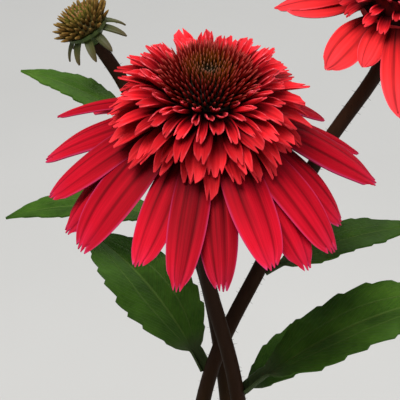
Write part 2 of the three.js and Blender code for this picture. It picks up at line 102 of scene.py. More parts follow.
# %% The studio
FLOOR_SIZE = 12.0
LAMP_AIM = Vector((0, 0, 0.35))
SKY_COLOUR = (0.80, 0.86, 0.92, 1)
SKY_STRENGTH = 0.24
LAMPS = [
    # name, place in metres, size, watts, colour
    ("key", (-0.4, -0.5, 1.85), 0.8, 34, (1.0, 0.97, 0.93)),
    ("fill", (1.3, -0.9, 1.1), 1.2, 9, (0.93, 0.96, 1.0)),
    ("back", (0.5, 1.4, 1.3), 1.0, 8, (1.0, 0.98, 0.95)),
]
for name, place, size, watts, colour in LAMPS:
    bpy.ops.object.light_add(type="AREA", location=place)
    lamp = bpy.context.object
    lamp.name = name
    lamp.data.size = size
    lamp.data.energy = watts
    lamp.data.color = colour
    toward = LAMP_AIM - Vector(place)
    lamp.rotation_euler = toward.to_track_quat("-Z", "Y").to_euler()

sky = bpy.data.worlds.new("sky")
sky.use_nodes = True
background = sky.node_tree.nodes["Background"]
background.inputs["Color"].default_value = SKY_COLOUR
background.inputs["Strength"].default_value = SKY_STRENGTH
scene.world = sky

bpy.ops.mesh.primitive_plane_add(size=FLOOR_SIZE)
floor = bpy.context.object
floor.name = "floor"
print(len(LAMPS), "lamps over a floor", FLOOR_SIZE, "m wide")

# %% [markdown]
# ## Writing finishes as sums
# A finish is easier to read as a sum than as a web of nodes. A Wire is one node's output, and the
# signs between two wires add the Math node for them. A Finish holds one material: its `node` adds
# any other node from its type, its settings and its inputs, and `feed` joins a wire to the shader.


# %% Wires and finishes
class Wire:
    """One output of a node, which adds Math nodes when it meets + - * / or a power."""

    def __init__(self, finish, socket):
        self.finish = finish
        self.socket = socket

    def math(self, operation, *values):
        settings = {"operation": operation}
        return self.finish.node("ShaderNodeMath", settings, dict(enumerate(values)))

    def __add__(self, other):
        return self.math("ADD", self, other)

    def __sub__(self, other):
        return self.math("SUBTRACT", self, other)

    def __rsub__(self, other):
        return self.math("SUBTRACT", other, self)

    def __mul__(self, other):
        return self.math("MULTIPLY", self, other)

    def __pow__(self, other):
        return self.math("POWER", self, other)

    def __abs__(self):
        return self.math("ABSOLUTE", self)

    __radd__ = __add__
    __rmul__ = __mul__

    def between(self, low, high):
        """0 below low, 1 above high, and a smooth rise between; low may be the larger."""
        settings = {"interpolation_type": "SMOOTHSTEP"}
        values = {"Value": self, "From Min": low, "From Max": high}
        return self.finish.node("ShaderNodeMapRange", settings, values)


# %% Finishes
class Finish:
    """A material made of nodes, with its Principled shader."""

    def __init__(self, name, **fixed):
        self.material = bpy.data.materials.new(name)
        self.material.use_nodes = True
        self.tree = self.material.node_tree
        self.shader = self.tree.nodes["Principled BSDF"]
        for socket, value in fixed.items():
            self.shader.inputs[socket.replace("_", " ")].default_value = value
        print("finish:", name)

    def node(self, kind, settings=None, values=None, output=0):
        made = self.tree.nodes.new(kind)
        for key, value in (settings or {}).items():
            setattr(made, key, value)
        for key, value in (values or {}).items():
            if isinstance(value, Wire):
                self.tree.links.new(value.socket, made.inputs[key])
            else:
                made.inputs[key].default_value = value
        return Wire(self, made.outputs[output])

    def place(self):
        return self.node("ShaderNodeTexCoord", output="Object")

    def parts(self, vector):
        return [self.node("ShaderNodeSeparateXYZ", None, {0: vector}, axis) for axis in "XYZ"]

    def surface(self):
        """Across and along the piece's own map, both from 0 to 1."""
        across, along, _ = self.parts(self.node("ShaderNodeUVMap", {"uv_map": "UVMap"}))
        return across, along

    def number(self, name):
        return self.node("ShaderNodeAttribute", {"attribute_name": name}, None, "Fac")

    def vector(self, x, y, z=0.0):
        return self.node("ShaderNodeCombineXYZ", None, {0: x, 1: y, 2: z})

    def grain(self, scale, detail=3.0, roughness=0.55, vector=None):
        """Noise over the piece's own place, or over another vector."""
        vector = vector or self.place()
        values = {"Vector": vector, "Scale": scale, "Detail": detail, "Roughness": roughness}
        return self.node("ShaderNodeTexNoise", None, values, "Fac")

    def strands(self, x, y, z=0.0, detail=3.0):
        """Noise over places stretched as given, one number or wire for each direction."""
        return self.grain(1.0, detail, vector=self.vector(x, y, z))

    def cells(self, vector, scale):
        values = {"Vector": vector, "Scale": scale}
        return self.node("ShaderNodeTexVoronoi", None, values, "Distance")

    def ramp(self, factor, stops):
        """A colour for each value of factor, from stops of (place, red, green, blue)."""
        made = self.node("ShaderNodeValToRGB", None, {"Fac": factor}, "Color")
        band = made.socket.node.color_ramp
        while len(band.elements) < len(stops):
            band.elements.new(0.5)
        for element, (position, *colour) in zip(band.elements, stops):
            element.position = position
            element.color = (*colour, 1)
        return made

    def mix(self, factor, first, second, blend="MIX"):
        """From first to second as factor goes from 0 to 1."""
        settings = {"data_type": "RGBA", "blend_type": blend}
        colours = [(*c, 1) if isinstance(c, tuple) else c for c in (first, second)]
        values = {"Factor": factor, 6: colours[0], 7: colours[1]}
        return self.node("ShaderNodeMix", settings, values, 2)

    def shade(self, colour, amount):
        """A colour made darker or lighter by a wire that is near 1."""
        grey = self.node("ShaderNodeCombineColor", None, {0: amount, 1: amount, 2: amount})
        return self.mix(1.0, colour, grey, "MULTIPLY")

    def bump(self, height, depth_mm, strength=1.0):
        values = {"Height": height, "Distance": depth_mm * MM, "Strength": strength}
        self.feed("Normal", self.node("ShaderNodeBump", None, values, "Normal"))

    def feed(self, socket, wire):
        self.tree.links.new(wire.socket, self.shader.inputs[socket])


def wear(piece, finish):
    """Gives a piece one finish in place of any other."""
    piece.data.materials.clear()
    piece.data.materials.append(finish.material)


# %% The floor's finish
paper = Finish("studio_floor", Roughness=0.9)
paper_greys = [(0.3, 0.60, 0.60, 0.59), (0.7, 0.64, 0.64, 0.63)]
paper.feed("Base Color", paper.ramp(paper.grain(3.0), paper_greys))
wear(floor, paper)

# %% [markdown]
# ## Shaping thin blades by hand
# Every petal and leaf starts as a flat grid, drawn out in edit mode row by row and column by
# column. The grid brings its own map, across from 0 to 1 and along from 0 to 1, so that veins can
# follow the blade when it is bent later. A row is picked by the numbers of its points, which run
# across the grid and then along it, as a box selection would pick it by hand.


# %% Helpers for edit mode
def pick(piece, test):
    """Selects, in edit mode, the vertices that pass the test."""
    mesh = bmesh.from_edit_mesh(piece.data)
    for vertex in mesh.verts:
        vertex.select = bool(test(vertex))
    mesh.select_flush_mode()
    bmesh.update_edit_mesh(piece.data)


def move(x, y, z):
    bpy.ops.transform.translate(value=(x, y, z))


def resize(x, y, z, centre=(0, 0, 0)):
    bpy.ops.transform.resize(value=(x, y, z), center_override=centre)


def flat_grid(name, columns, rows):
    """A grid from -1 to 1 across X and from 0 to 1 along Y, left in edit mode."""
    bpy.ops.mesh.primitive_grid_add(x_subdivisions=columns, y_subdivisions=rows, size=2)
    grid = bpy.context.object
    grid.name = name
    bpy.ops.object.mode_set(mode="EDIT")
    bpy.ops.mesh.select_mode(type="VERT")
    bpy.ops.mesh.select_all(action="SELECT")
    resize(1, 0.5, 1)
    move(0, 0.5, 0)
    return grid


TOOTH_FADE = 1.3


def no_teeth(side):
    return 0.0


def shape_blade(name, columns, rows, width, relief, teeth=no_teeth, tooth_rows=3):
    """A blade one unit long: relief lifts columns, width narrows rows, and teeth cut the tip."""
    grid = flat_grid(name, columns, rows)
    across = columns + 1
    for column in range(across):
        side = 2 * column / columns - 1
        pick(grid, lambda vertex: vertex.index % across == column)
        move(0, 0, relief(side))
    for row in range(rows + 1):
        spread = width(row / rows)
        pick(grid, lambda vertex: vertex.index // across == row)
        resize(spread, 1, spread, (0, row / rows, 0))
    for step in range(tooth_rows):
        fade = (1 - step / tooth_rows) ** TOOTH_FADE
        for column in range(across):
            cut = teeth(2 * column / columns - 1) * fade
            if cut > 0:
                corner = (rows - step) * across + column
                pick(grid, lambda vertex: vertex.index == corner)
                move(0, -cut, 0)
    return grid


def full_size(grid, half_width, length):
    """Leaves edit mode with the blade at its real size."""
    bpy.ops.mesh.select_all(action="SELECT")
    resize(half_width, length, half_width)
    bpy.ops.object.mode_set(mode="OBJECT")
    return grid


def settle(piece, modifier):
    """Makes a modifier's work part of the mesh."""
    bpy.context.view_layer.objects.active = piece
    bpy.ops.object.modifier_apply(modifier=modifier.name)


def thicken(piece, wall_mm):
    """Turns bent sheets into blades with a wall, which no step after it may bend."""
    wall = piece.modifiers.new("wall", "SOLIDIFY")
    wall.thickness = wall_mm * MM
    wall.offset = 0
    settle(piece, wall)
    return piece


# %% [markdown]
# ## Bending and repeating
# A petal leaves its bloom at one tilt and ends at another, so its length lies on an arc. The arc's
# two tilts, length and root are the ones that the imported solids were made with, and a point of the
# flat blade keeps its distance from the arc. A bend modifier would need one empty for each of the
# two hundred petals, so the copies are bent by a sum on their own meshes and then joined.


# %% Arcs and copies
class Arc:
    """Where a blade grows: root in mm, outward direction, and tilts in radians."""

    def __init__(self, root, azimuth, tilts, length, sway=0.0, roll=0.0):
        self.root = root
        self.azimuth = azimuth
        self.start, self.end = tilts
        self.length = length
        self.sway = sway
        self.roll = roll

    def bend(self, flat, stretch=1.0):
        """Places of the flat points (across, along, above), with the length stretched to fit."""
        x, s, z = flat[:, 0], flat[:, 1] * stretch, flat[:, 2]
        rate = (self.end - self.start) / self.length
        share = s / self.length
        tilt = self.start + rate * s
        turn = self.roll * share
        across = x * np.cos(turn) - z * np.sin(turn) + self.sway * self.length * share**2
        above = x * np.sin(turn) + z * np.cos(turn)
        out = (np.sin(tilt) - math.sin(self.start)) / rate - above * np.sin(tilt)
        up = (math.cos(self.start) - np.cos(tilt)) / rate + above * np.cos(tilt)
        c, w = math.cos(self.azimuth), math.sin(self.azimuth)
        places = (out * c + across * w, out * w - across * c, up)
        return np.stack(places, axis=1) + np.array(self.root)


# %% Copies and joins
def points_of(piece):
    flat = np.empty(len(piece.data.vertices) * 3)
    piece.data.vertices.foreach_get("co", flat)
    return flat.reshape(-1, 3)


def number_points(piece, name, values):
    """Stores a number on each point, for the finish to read."""
    data = piece.data
    attribute = data.attributes.get(name) or data.attributes.new(name, "FLOAT", "POINT")
    attribute.data.foreach_set("value", np.broadcast_to(values, len(data.vertices)).ravel())


def copy_of(template, places, tone, matrix=None):
    """A copy with its own mesh: places are in mm and matrix moves them into the frame."""
    piece = template.copy()
    piece.data = template.data.copy()
    bpy.context.collection.objects.link(piece)
    if matrix is not None:
        turned = np.array(matrix)
        places = places @ turned[:3, :3].T + turned[:3, 3]
    piece.data.vertices.foreach_set("co", (places * MM).ravel())
    piece.data.update()
    number_points(piece, "tone", tone)
    return piece


def gather(pieces):
    """Selects only these pieces, and joins them into the first."""
    bpy.ops.object.select_all(action="DESELECT")
    for piece in pieces:
        piece.select_set(True)
    bpy.context.view_layer.objects.active = pieces[0]
    if len(pieces) > 1:
        bpy.ops.object.join()
    return bpy.context.object


def join(name, pieces, finish, smooth=40):
    """One piece out of several, smooth up to an angle; with no finish, they keep their own."""
    joined = gather(pieces)
    joined.name = joined.data.name = name
    bpy.ops.object.shade_smooth_by_angle(angle=math.radians(smooth))
    if finish:
        wear(joined, finish)
    bpy.ops.object.select_all(action="DESELECT")
    print(name, "has", len(joined.data.polygons), "faces")
    return joined


# %% Places in the frame
def belongs(piece, node):
    """Fastens a piece to the frame and hides the node that it stands for."""
    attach(piece, "root")
    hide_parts(node)


def throw_away(*templates):
    for template in templates:
        bpy.data.objects.remove(template)


def only_copy(template, places, tone, matrix=None):
    """The one copy of a template, which is then thrown away."""
    piece = copy_of(template, places, tone, matrix)
    throw_away(template)
    return piece


def bloom_frame(centre, lean):
    """A bloom's own frame: tipped forward by the first angle, then to the right by the second."""
    forward = Matrix.Rotation(math.radians(lean[0]), 4, "X")
    sideways = Matrix.Rotation(math.radians(lean[1]), 4, "Y")
    return Matrix.Translation(centre) @ forward @ sideways


def from_front(degrees):
    """An azimuth in radians from degrees round a bloom, where 0 is its front."""
    return math.radians(degrees - 90)


def on_rim(radius, height, azimuth):
    """A point on a level circle round the middle."""
    return (radius * math.cos(azimuth), radius * math.sin(azimuth), height)


MAIN_FRAME = bloom_frame(MAIN_CENTRE, (9, 2))
YOUNG_FRAME = bloom_frame((45, 22, 444), (16, 6))
BUD_FRAME = bloom_frame((-45, 64, 414), (4, -28))

# %% [markdown]
# ## Ray petals: the finish
# A ray petal is velvety crimson. Its root is darker, and painted shade under the crown makes it
# nearly black-red. Its two furrows are painted darker than its ridges, as shade, and fine veins run
# along it. Its rim is paler, with a painted pink-violet sheen. The map's along coordinate drives
# the root-to-tip colours, and a noise stretched lengthwise draws the veins.


# %% The ray petals' finish
# Where a furrow runs, from 0 on the midline to 1 on the edge
FURROW_PLACE = 0.38
PINK_LIGHT = (1.0, 0.4, 0.8, 1)


def ray_finish(name, stops, sheen_rim_and_tip, furrow_shade):
    """stops: colours from root to tip, whose dark root is partly painted shade; then the colour of
    the rim's painted pink-violet sheen and of the tip's frill; then how dark the painted shade in
    a furrow is.
    """
    fixed = {"Sheen_Weight": 0.015, "Sheen_Roughness": 0.4, "Sheen_Tint": PINK_LIGHT}
    finish = Finish(name, **fixed, Specular_IOR_Level=0.06)
    across, along = finish.surface()
    tone = finish.number("tone")
    wander = finish.strands(along * 2.2, tone * 31, 0.5, 1.0) - 0.5
    side = abs(across * 2 - 1 + wander * 0.16)
    veins = finish.strands(across * 38, along * 1.3, tone * 9)
    streaks = finish.strands(across * 8, along * 0.8, tone * 17)
    patches = finish.strands(across * 1.5, along * 2.5, tone * 23, 2.0)
    furrow = (1 - abs(side - FURROW_PLACE).between(0.0, 0.20)) ** 2
    colour = finish.ramp(along + (streaks - 0.5) * 0.22, stops)
    light = 0.92 + (veins - 0.5) * 0.65 + (streaks - 0.5) * 0.85 + (patches - 0.5) * 0.45
    # Veins, streaks and patches change the petal's own red; the furrows get painted shade.
    colour = finish.shade(colour, light + tone * 0.20 - furrow * (tone * 0.10 + furrow_shade))
    # A paler rim with a painted pink-violet sheen, and a pinker frill at the tip
    edge = (across * 2 - 1) ** 2
    edge = edge.between(0.72, 1.0) * 0.45 * along.between(0.15, 0.6)
    frill = along.between(0.95, 1.0) * 0.40
    finish.feed("Base Color", finish.mix((edge + frill).between(0, 1), colour, sheen_rim_and_tip))
    finish.feed("Roughness", 0.58 + veins * 0.14)
    finish.bump(veins * 0.6 + streaks * 0.6 - furrow * 0.3, 0.35, 0.6)
    return finish


# Each ramp starts nearly black: the root is darker, and painted shade under the crown deepens it.
crimson = ray_finish(
    "crimson_petal",
    [
        (0.0, 0.016, 0.0002, 0.002),
        (0.26, 0.11, 0.0005, 0.005),
        (0.5, 0.36, 0.0020, 0.010),
        (0.8, 0.55, 0.0045, 0.019),
        (1.0, 0.62, 0.013, 0.046),
    ],
    (0.60, 0.060, 0.21),
    0.40,
)
coral = ray_finish(
    "coral_petal",
    [
        (0.0, 0.03, 0.0005, 0.001),
        (0.16, 0.14, 0.0020, 0.003),
        (0.32, 0.50, 0.0090, 0.012),
        (0.6, 0.82, 0.026, 0.030),
        (1.0, 0.88, 0.050, 0.062),
    ],
    (0.86, 0.12, 0.17),
    0.42,
)

# %% [markdown]
# ## Ray petals: the shape
# A ray petal is narrow at its root, widest at its middle, and narrower again at its tip, which is
# cut into a few pointed teeth. Two furrows run its whole length and its sides fall away a little.
# Each bloom has three flat petals with different tips, which take turns round the ring, and each
# copy has its own arc, length and width. Every second petal starts lower, under its neighbours, so
# the ring has two layers, as on the real bloom.

# %% Drawing a ray petal
RAY_COLUMNS = 16
RAY_ROWS = 30
RAY_TOOTH_ROWS = 4
RAY_WALL = 0.45
TOOTH_SPACING = 0.62


def ray_width(along, blunt):
    """Share of the full half width at a share of the length; blunt is what is left at the tip."""
    if along < 0.5:
        return 1 - 0.65 * (1 - along / 0.5) ** 2
    return 1 - (1 - blunt) * ((along - 0.5) / 0.5) ** 2.5


def ray_relief(side):
    furrows = math.exp(-(((abs(side) - FURROW_PLACE) / 0.12) ** 2))
    return 0.06 - 0.24 * side * side - 0.05 * furrows


def notch(side, place, width, depth):
    return depth * math.exp(-(((side - place) / width) ** 2))


def pointed(side, shift, depth):
    """How far a tip with pointed teeth is cut back: least on the teeth, most between them."""
    place = ((side - shift) / TOOTH_SPACING + 0.5) % 1
    return depth * 2 * abs(place - 0.5)


# Where each kind of tip is cut back, as a share of the length
RAY_TIPS = [
    lambda side: pointed(side, 0.05, 0.060 + 0.015 * side) + 0.02 * side**2,
    lambda side: pointed(side, 0.30, 0.070 - 0.020 * side) + 0.03 * max(0, side),
    lambda side: pointed(side, -0.18, 0.052) + 0.02 * (1 - side) + 0.04 * max(0, side - 0.5),
]


def ray_template(size, tip):
    half_width, length, blunt = size

    def outline(along):
        return ray_width(along, blunt)

    grid = shape_blade("flat_ray", RAY_COLUMNS, RAY_ROWS, outline, ray_relief, tip, RAY_TOOTH_ROWS)
    return full_size(grid, half_width, length)


# %% Where each ray petal grows
# Half width, length and bluntness of the rays, and the radius of the disc that they grow from
MAIN_RAY = (5.3, 42.0, 0.28)
YOUNG_RAY = (5.0, 30.0, 0.10)
MAIN_RECEPTACLE = 11.0
YOUNG_RECEPTACLE = 10.0
# Azimuth from the front in degrees, tilt added at the tip, shares of full length and width, and
# tone: each ray's own depth of red, and on the main bloom also painted shade on rays that hang in
# shadow and painted light on those turned to the light
MAIN_RAYS = [
    (-119.5, 6, 1.07, 0.62, -0.2), (-101, 4, 1.06, 1.25, 0.3), (-72.5, 2, 1.0, 1.12, -0.3),
    (-62.5, -5, 1.03, 1.1, -0.7), (-50, -8, 1.06, 1.25, -0.2), (-23.5, 9, 0.95, 1.0, 0.8),
    (-8, 3, 1.07, 1.0, -0.9), (6, 5, 1.02, 1.05, -1.7), (24.5, 5, 0.98, 1.24, 0.8),
    (40.5, -1, 1.03, 1.18, 0.3), (49.5, -5, 1.06, 1.15, 0.2), (68.5, -3, 0.98, 1.12, 0.0),
    (89.5, 3, 1.1, 1.42, -0.2), (108.5, 6, 1.10, 0.62, -0.1), (126, 0, 0.94, 1.0, -0.5),
    (138, -3, 0.97, 1.1, 0.4), (152, 2, 1.0, 0.95, -0.2), (167, 0, 0.98, 1.1, 0.6),
    (182, -3, 1.0, 1.0, 0.0), (197, 3, 0.97, 1.1, -0.6), (212, -2, 1.0, 0.95, 0.5),
    (228, 3, 1.0, 1.05, -0.1),
]  # fmt: skip
YOUNG_RAYS = [
    (-109.5, 2, 1.0, 1.0, 0.2), (-100, 24, 0.78, 0.84, -0.4), (-26, 0, 0.50, 0.74, 0.5),
    (-50, 2, 0.66, 1.1, 0.2), (2, 6, 0.92, 1.1, 0.2), (24, 4, 0.98, 1.0, -0.3),
    (46, 8, 1.0, 1.0, 0.3), (68, 0, 0.96, 1.0, -0.4), (90, 6, 1.02, 1.0, 0.1),
    (113, -2, 0.97, 1.0, -0.5), (136, 4, 1.0, 1.0, 0.3), (158, 0, 0.94, 1.0, 0.0),
    (180, 6, 1.0, 1.0, -0.2), (203, -4, 0.96, 1.0, 0.5), (229, 6, 1.0, 1.0, -0.3),
]  # fmt: skip


# %% The rings of ray petals
# Height of the root and tilts at root and tip, in the upper and in the lower layer
RAY_LAYERS = [(-1.1, -16, -49), (-2.4, -21, -52)]
RAY_ROOT_DEPTH = 1.4


def ray_arc(index, degrees, extra_tilt, length, receptacle):
    azimuth = from_front(degrees)
    height, start, end = RAY_LAYERS[index % 2]
    root = on_rim(receptacle - RAY_ROOT_DEPTH, height, azimuth)
    tilts = (math.radians(start), math.radians(end + extra_tilt))
    return Arc(root, azimuth, tilts, length, 0.03 * draw(index, 1), 0.12 * draw(index, 2))


def ring_of_rays(name, rays, size, receptacle, bloom, finish):
    half_width, length, _ = size
    templates = [ray_template(size, tip) for tip in RAY_TIPS]
    petals = []
    for index, (degrees, extra_tilt, share, width, tone) in enumerate(rays):
        arc = ray_arc(index, degrees, extra_tilt, length * share, receptacle)
        template = templates[index % len(templates)]
        shaped = points_of(template)
        # Each petal has its own width, and one side a little higher than the other.
        shaped[:, 0] *= width * (1 + 0.03 * draw(index, 31))
        shaped[:, 2] += 0.05 * draw(index, 32) * shaped[:, 0] * shaped[:, 1] / length
        wave = np.sin(shaped[:, 1] / length * 9 + 3 * draw(index, 33))
        shaped[:, 2] += 0.22 * wave * (shaped[:, 0] / half_width) ** 2
        petals.append(copy_of(template, arc.bend(shaped, share), tone, bloom))
    throw_away(*templates)
    blades = thicken(gather(petals), RAY_WALL)
    return join(name, [blades, ray_disc(receptacle, bloom)], finish)


DISC_SIDES = 32
DISC_THICKNESS = 2.9
DISC_TOP = -0.3


def ray_disc(receptacle, bloom):
    """The disc that the petals grow from, which closes the bloom underneath."""
    bpy.ops.mesh.primitive_cylinder_add(vertices=DISC_SIDES, radius=1, depth=1)
    disc = bpy.context.object
    places = points_of(disc) * np.array([receptacle, receptacle, DISC_THICKNESS])
    places[:, 2] += DISC_TOP - DISC_THICKNESS / 2
    return only_copy(disc, places, -1.0, bloom)


main_rays = ring_of_rays("main_rays", MAIN_RAYS, MAIN_RAY, MAIN_RECEPTACLE, MAIN_FRAME, crimson)
belongs(main_rays, "main_bloom_rays")
young_rays = ring_of_rays("young_rays", YOUNG_RAYS, YOUNG_RAY, YOUNG_RECEPTACLE, YOUNG_FRAME, coral)
belongs(young_rays, "young_bloom_rays")

# %% [markdown]
# ## The crown of short petals
# In a double bloom the outer florets of the cone become short petals too. They stand in rows, each
# row shorter and more upright than the one below. Each is a hollow strap with raised sides and a
# tip split into two or three teeth. It is orange-red with a pale rim, and so crowded that its root
# is almost black, which the finish paints as well, because light still finds its way in.

# %% The short petals' finish
ROSE_SHEEN = {"Sheen_Weight": 0.02, "Sheen_Roughness": 0.4, "Sheen_Tint": (1.0, 0.5, 0.6, 1)}
scarlet = Finish("scarlet_petal", **ROSE_SHEEN, Roughness=0.6, Specular_IOR_Level=0.06)
strap_across, strap_along = scarlet.surface()
strap_tone = scarlet.number("tone")
strap_pale = scarlet.number("pale")
strap_side = abs(strap_across * 2 - 1)
strap_veins = scarlet.strands(strap_across * 10, strap_along * 1.2, strap_tone * 13, 2.0)
strap_colour = scarlet.ramp(
    strap_along + (strap_veins - 0.5) * 0.2 + strap_tone * 0.05,
    [
        (0.0, 0.006, 0.0002, 0.0006),
        (0.36, 0.040, 0.0004, 0.0014),
        (0.60, 0.32, 0.003, 0.008),
        (0.82, 0.66, 0.011, 0.018),
        (1.0, 0.80, 0.030, 0.042),
    ],
)
strap_light = 0.84 + (strap_veins - 0.5) * 0.6 + strap_tone * 0.24
strap_rim = strap_side.between(0.80, 1.0) * strap_along.between(0.5, 0.9)
strap_tip = strap_along.between(0.94, 1.0)
strap_colour = scarlet.shade(strap_colour, strap_light)
strap_edge = (strap_rim + strap_tip) * (0.10 + strap_pale * 0.36)
strap_colour = scarlet.mix(strap_edge.between(0, 1), strap_colour, (0.80, 0.15, 0.19))
scarlet.feed("Base Color", strap_colour)
scarlet.bump(strap_veins, 0.2, 0.5)

# %% Rows of straps
STRAP_COLUMNS = 8
STRAP_ROWS = 8
STRAP_WALL = 0.35
STRAP_ROOT = 2
# A tone so low that the finish comes out almost black: painted shade between the short petals' roots
CORE_SHADE_TONE = -3.0
CORE_HEIGHT = 7.1
CORE_TAPER = 0.84
CORE_MARGIN = 0.3
# How many, radius and height of the roots, tilts at root and tip, length, half width, and how far
# the sides roll up, in radians
MAIN_ROWS = [
    (22, 11.2, 1.0, (-2, -40), 17.6, 2.8, 0.50),
    (21, 11.2, 2.2, (10, -34), 16.4, 2.8, 0.60),
    (22, 11.0, 3.3, (18, -12), 15.6, 2.7, 0.80),
    (27, 10.6, 4.3, (25, 4), 12.2, 2.3, 1.15),
    (26, 10.4, 5.0, (27, 42), 10.2, 1.9, 1.60),
    (15, 10.0, 5.4, (36, 46), 6.4, 1.6, 2.00),
]
YOUNG_ROWS = [
    (17, 10.2, 1.6, (8, -24), 6.2, 2.0, 0.80),
    (15, 10.0, 3.4, (24, 4), 5.0, 1.8, 1.10),
    (16, 9.8, 5.0, (48, 64), 3.0, 1.5, 1.60),
]

# %% The shape of a strap
# How far each kind of tip is cut back, as a share of the length
STRAP_TIPS = [
    lambda side: notch(side, 0, 0.16, 0.20) + 0.30 * max(0, abs(side) - 0.5),
    lambda side: notch(abs(side), 0.5, 0.14, 0.13)
    + 0.06 * abs(side)
    + 0.4 * max(0, abs(side) - 0.75),
    lambda side: notch(side, 0.0, 0.14, 0.15) + 0.16 * max(0, side) + 0.34 * max(0, -side - 0.5),
    lambda side: notch(side, 0.25, 0.14, 0.16) + 0.10 * max(0, -side) + 0.36 * max(0, side - 0.5),
]


def strap_width(along):
    if along < 0.6:
        return 0.36 + 0.64 * math.sin(math.pi / 2 * along / 0.6)
    return 1 - 0.26 * ((along - 0.6) / 0.4) ** 2


def strap_relief(side):
    return 0.05 * math.cos(2 * math.pi * side)


def rolled(flat, half_width, roll):
    """Rolls the sides of a flat strap up, tighter near its root."""
    length = flat[:, 1].max()
    radius = half_width / roll * (0.55 + 0.45 * flat[:, 1] / length)
    angle = flat[:, 0] / radius
    shaped = flat.copy()
    shaped[:, 0] = (radius - flat[:, 2]) * np.sin(angle)
    shaped[:, 2] = radius - (radius - flat[:, 2]) * np.cos(angle)
    return shaped


# %% A row of straps
def strap_row(templates, row, level, levels, bloom):
    """One row of the crown; the inner rows grow fuller behind and on the left."""
    count, radius, height, tilts, length, half_width, roll_up = row
    straps = []
    inner = level / (levels - 1)
    for i in range(count):
        number = 40 * level + i
        template = templates[int(1e4 * abs(draw(number, 39))) % len(templates)]
        step = 360 / count
        azimuth = from_front(step * (i + 0.5 * (level % 2)) + 0.22 * step * draw(number, 6))
        start = math.radians(tilts[0] + 4 * draw(number, 7))
        end = math.radians(tilts[1] + (11 + 9 * inner) * draw(number, 8))
        behind, leftward = max(0, math.sin(azimuth)), max(0, -math.cos(azimuth))
        fuller = inner * (0.12 * behind + 0.10 * leftward)
        share = 1 + 0.12 * draw(number, 9) + fuller
        root = on_rim(radius - STRAP_ROOT, height, azimuth)
        sway, twist = 0.09 * draw(number, 35), 0.55 * draw(number, 10)
        arc = Arc(root, azimuth, (start, end), (length + STRAP_ROOT) * share, sway, twist)
        half = half_width * (1 + 0.2 * draw(number, 36))
        flat = points_of(template) * np.array([half, length + STRAP_ROOT, half])
        shaped = rolled(flat, half, roll_up * (1 + 0.35 * draw(number, 37)))
        strap = copy_of(template, arc.bend(shaped, share), draw(number, 38), bloom)
        number_points(strap, "pale", max(0.0, inner * 1.2 - 0.4))
        straps.append(strap)
    return straps


# %% The two crowns
def crown_core(receptacle, bloom):
    """The solid middle that the short petals grow from, painted almost black as the shade between
    them.
    """
    bpy.ops.mesh.primitive_cone_add(vertices=DISC_SIDES, radius1=1, radius2=CORE_TAPER, depth=1)
    cone = bpy.context.object
    radius = receptacle + CORE_MARGIN
    places = points_of(cone) * np.array([radius, radius, CORE_HEIGHT])
    places[:, 2] += CORE_HEIGHT / 2
    core = only_copy(cone, places, CORE_SHADE_TONE, bloom)
    number_points(core, "pale", 0.0)
    return core


def petal_crown(name, rows, receptacle, bloom):
    templates = []
    for tip in STRAP_TIPS:
        grid = shape_blade("flat_strap", STRAP_COLUMNS, STRAP_ROWS, strap_width, strap_relief, tip)
        templates.append(full_size(grid, 1, 1))
    straps = []
    for level, row in enumerate(rows):
        straps += strap_row(templates, row, level, len(rows), bloom)
    throw_away(*templates)
    blades = thicken(gather(straps), STRAP_WALL)
    return join(name, [blades, crown_core(receptacle, bloom)], scarlet)


main_crown = petal_crown("main_crown", MAIN_ROWS, MAIN_RECEPTACLE, MAIN_FRAME)
belongs(main_crown, "main_bloom_crown")
young_crown = petal_crown("young_crown", YOUNG_ROWS, YOUNG_RECEPTACLE, YOUNG_FRAME)
belongs(young_crown, "young_bloom_crown")

# %% [markdown]
# ## The cone
# The cone's spines stand in two families of spirals, because each new one grows a golden angle on
# from the last. They are short and green-brown in the sunken middle, orange round it, and long,
# dark red and leaning outwards at the edge. One spine is made by drawing out a hexagon ring by
# ring, and its copies are turned, stretched and set on a dome.


# %% Drawing a spine
def tower(name, sides, rings):
    """A closed shape of revolution from a polygon, drawn out through rings of (height, radius)."""
    bpy.ops.mesh.primitive_circle_add(vertices=sides, radius=rings[0][1], fill_type="NGON")
    made = bpy.context.object
    made.name = name
    bpy.ops.object.mode_set(mode="EDIT")
    bpy.ops.mesh.select_mode(type="FACE")
    bpy.ops.mesh.select_all(action="SELECT")
    move(0, 0, rings[0][0])
    for (height, radius), (below, wider) in zip(rings[1:], rings):
        step = (0, 0, height - below)
        bpy.ops.mesh.extrude_region_move(TRANSFORM_OT_translate={"value": step})
        ratio = radius / wider
        resize(ratio, ratio, 1, (0, 0, height))
    bpy.ops.mesh.select_all(action="SELECT")
    bpy.ops.mesh.normals_make_consistent(inside=False)
    bpy.ops.mesh.select_mode(type="VERT")
    bpy.ops.object.mode_set(mode="OBJECT")
    return made


SPINE_RINGS = [(0.0, 0.9), (0.45, 1.0), (0.78, 0.72), (0.94, 0.34), (1.0, 0.10)]
SPINE_SIDES = 6
DOME_SIDES = 40
DOME_SHARES = (0.9, 0.75, 0.55, 0.4, 0.25, 0.1)
SPINE_ROOT = 1.4
SHORTEST_SPINE = 1.6
GOLDEN_ANGLE = math.pi * (3 - math.sqrt(5))


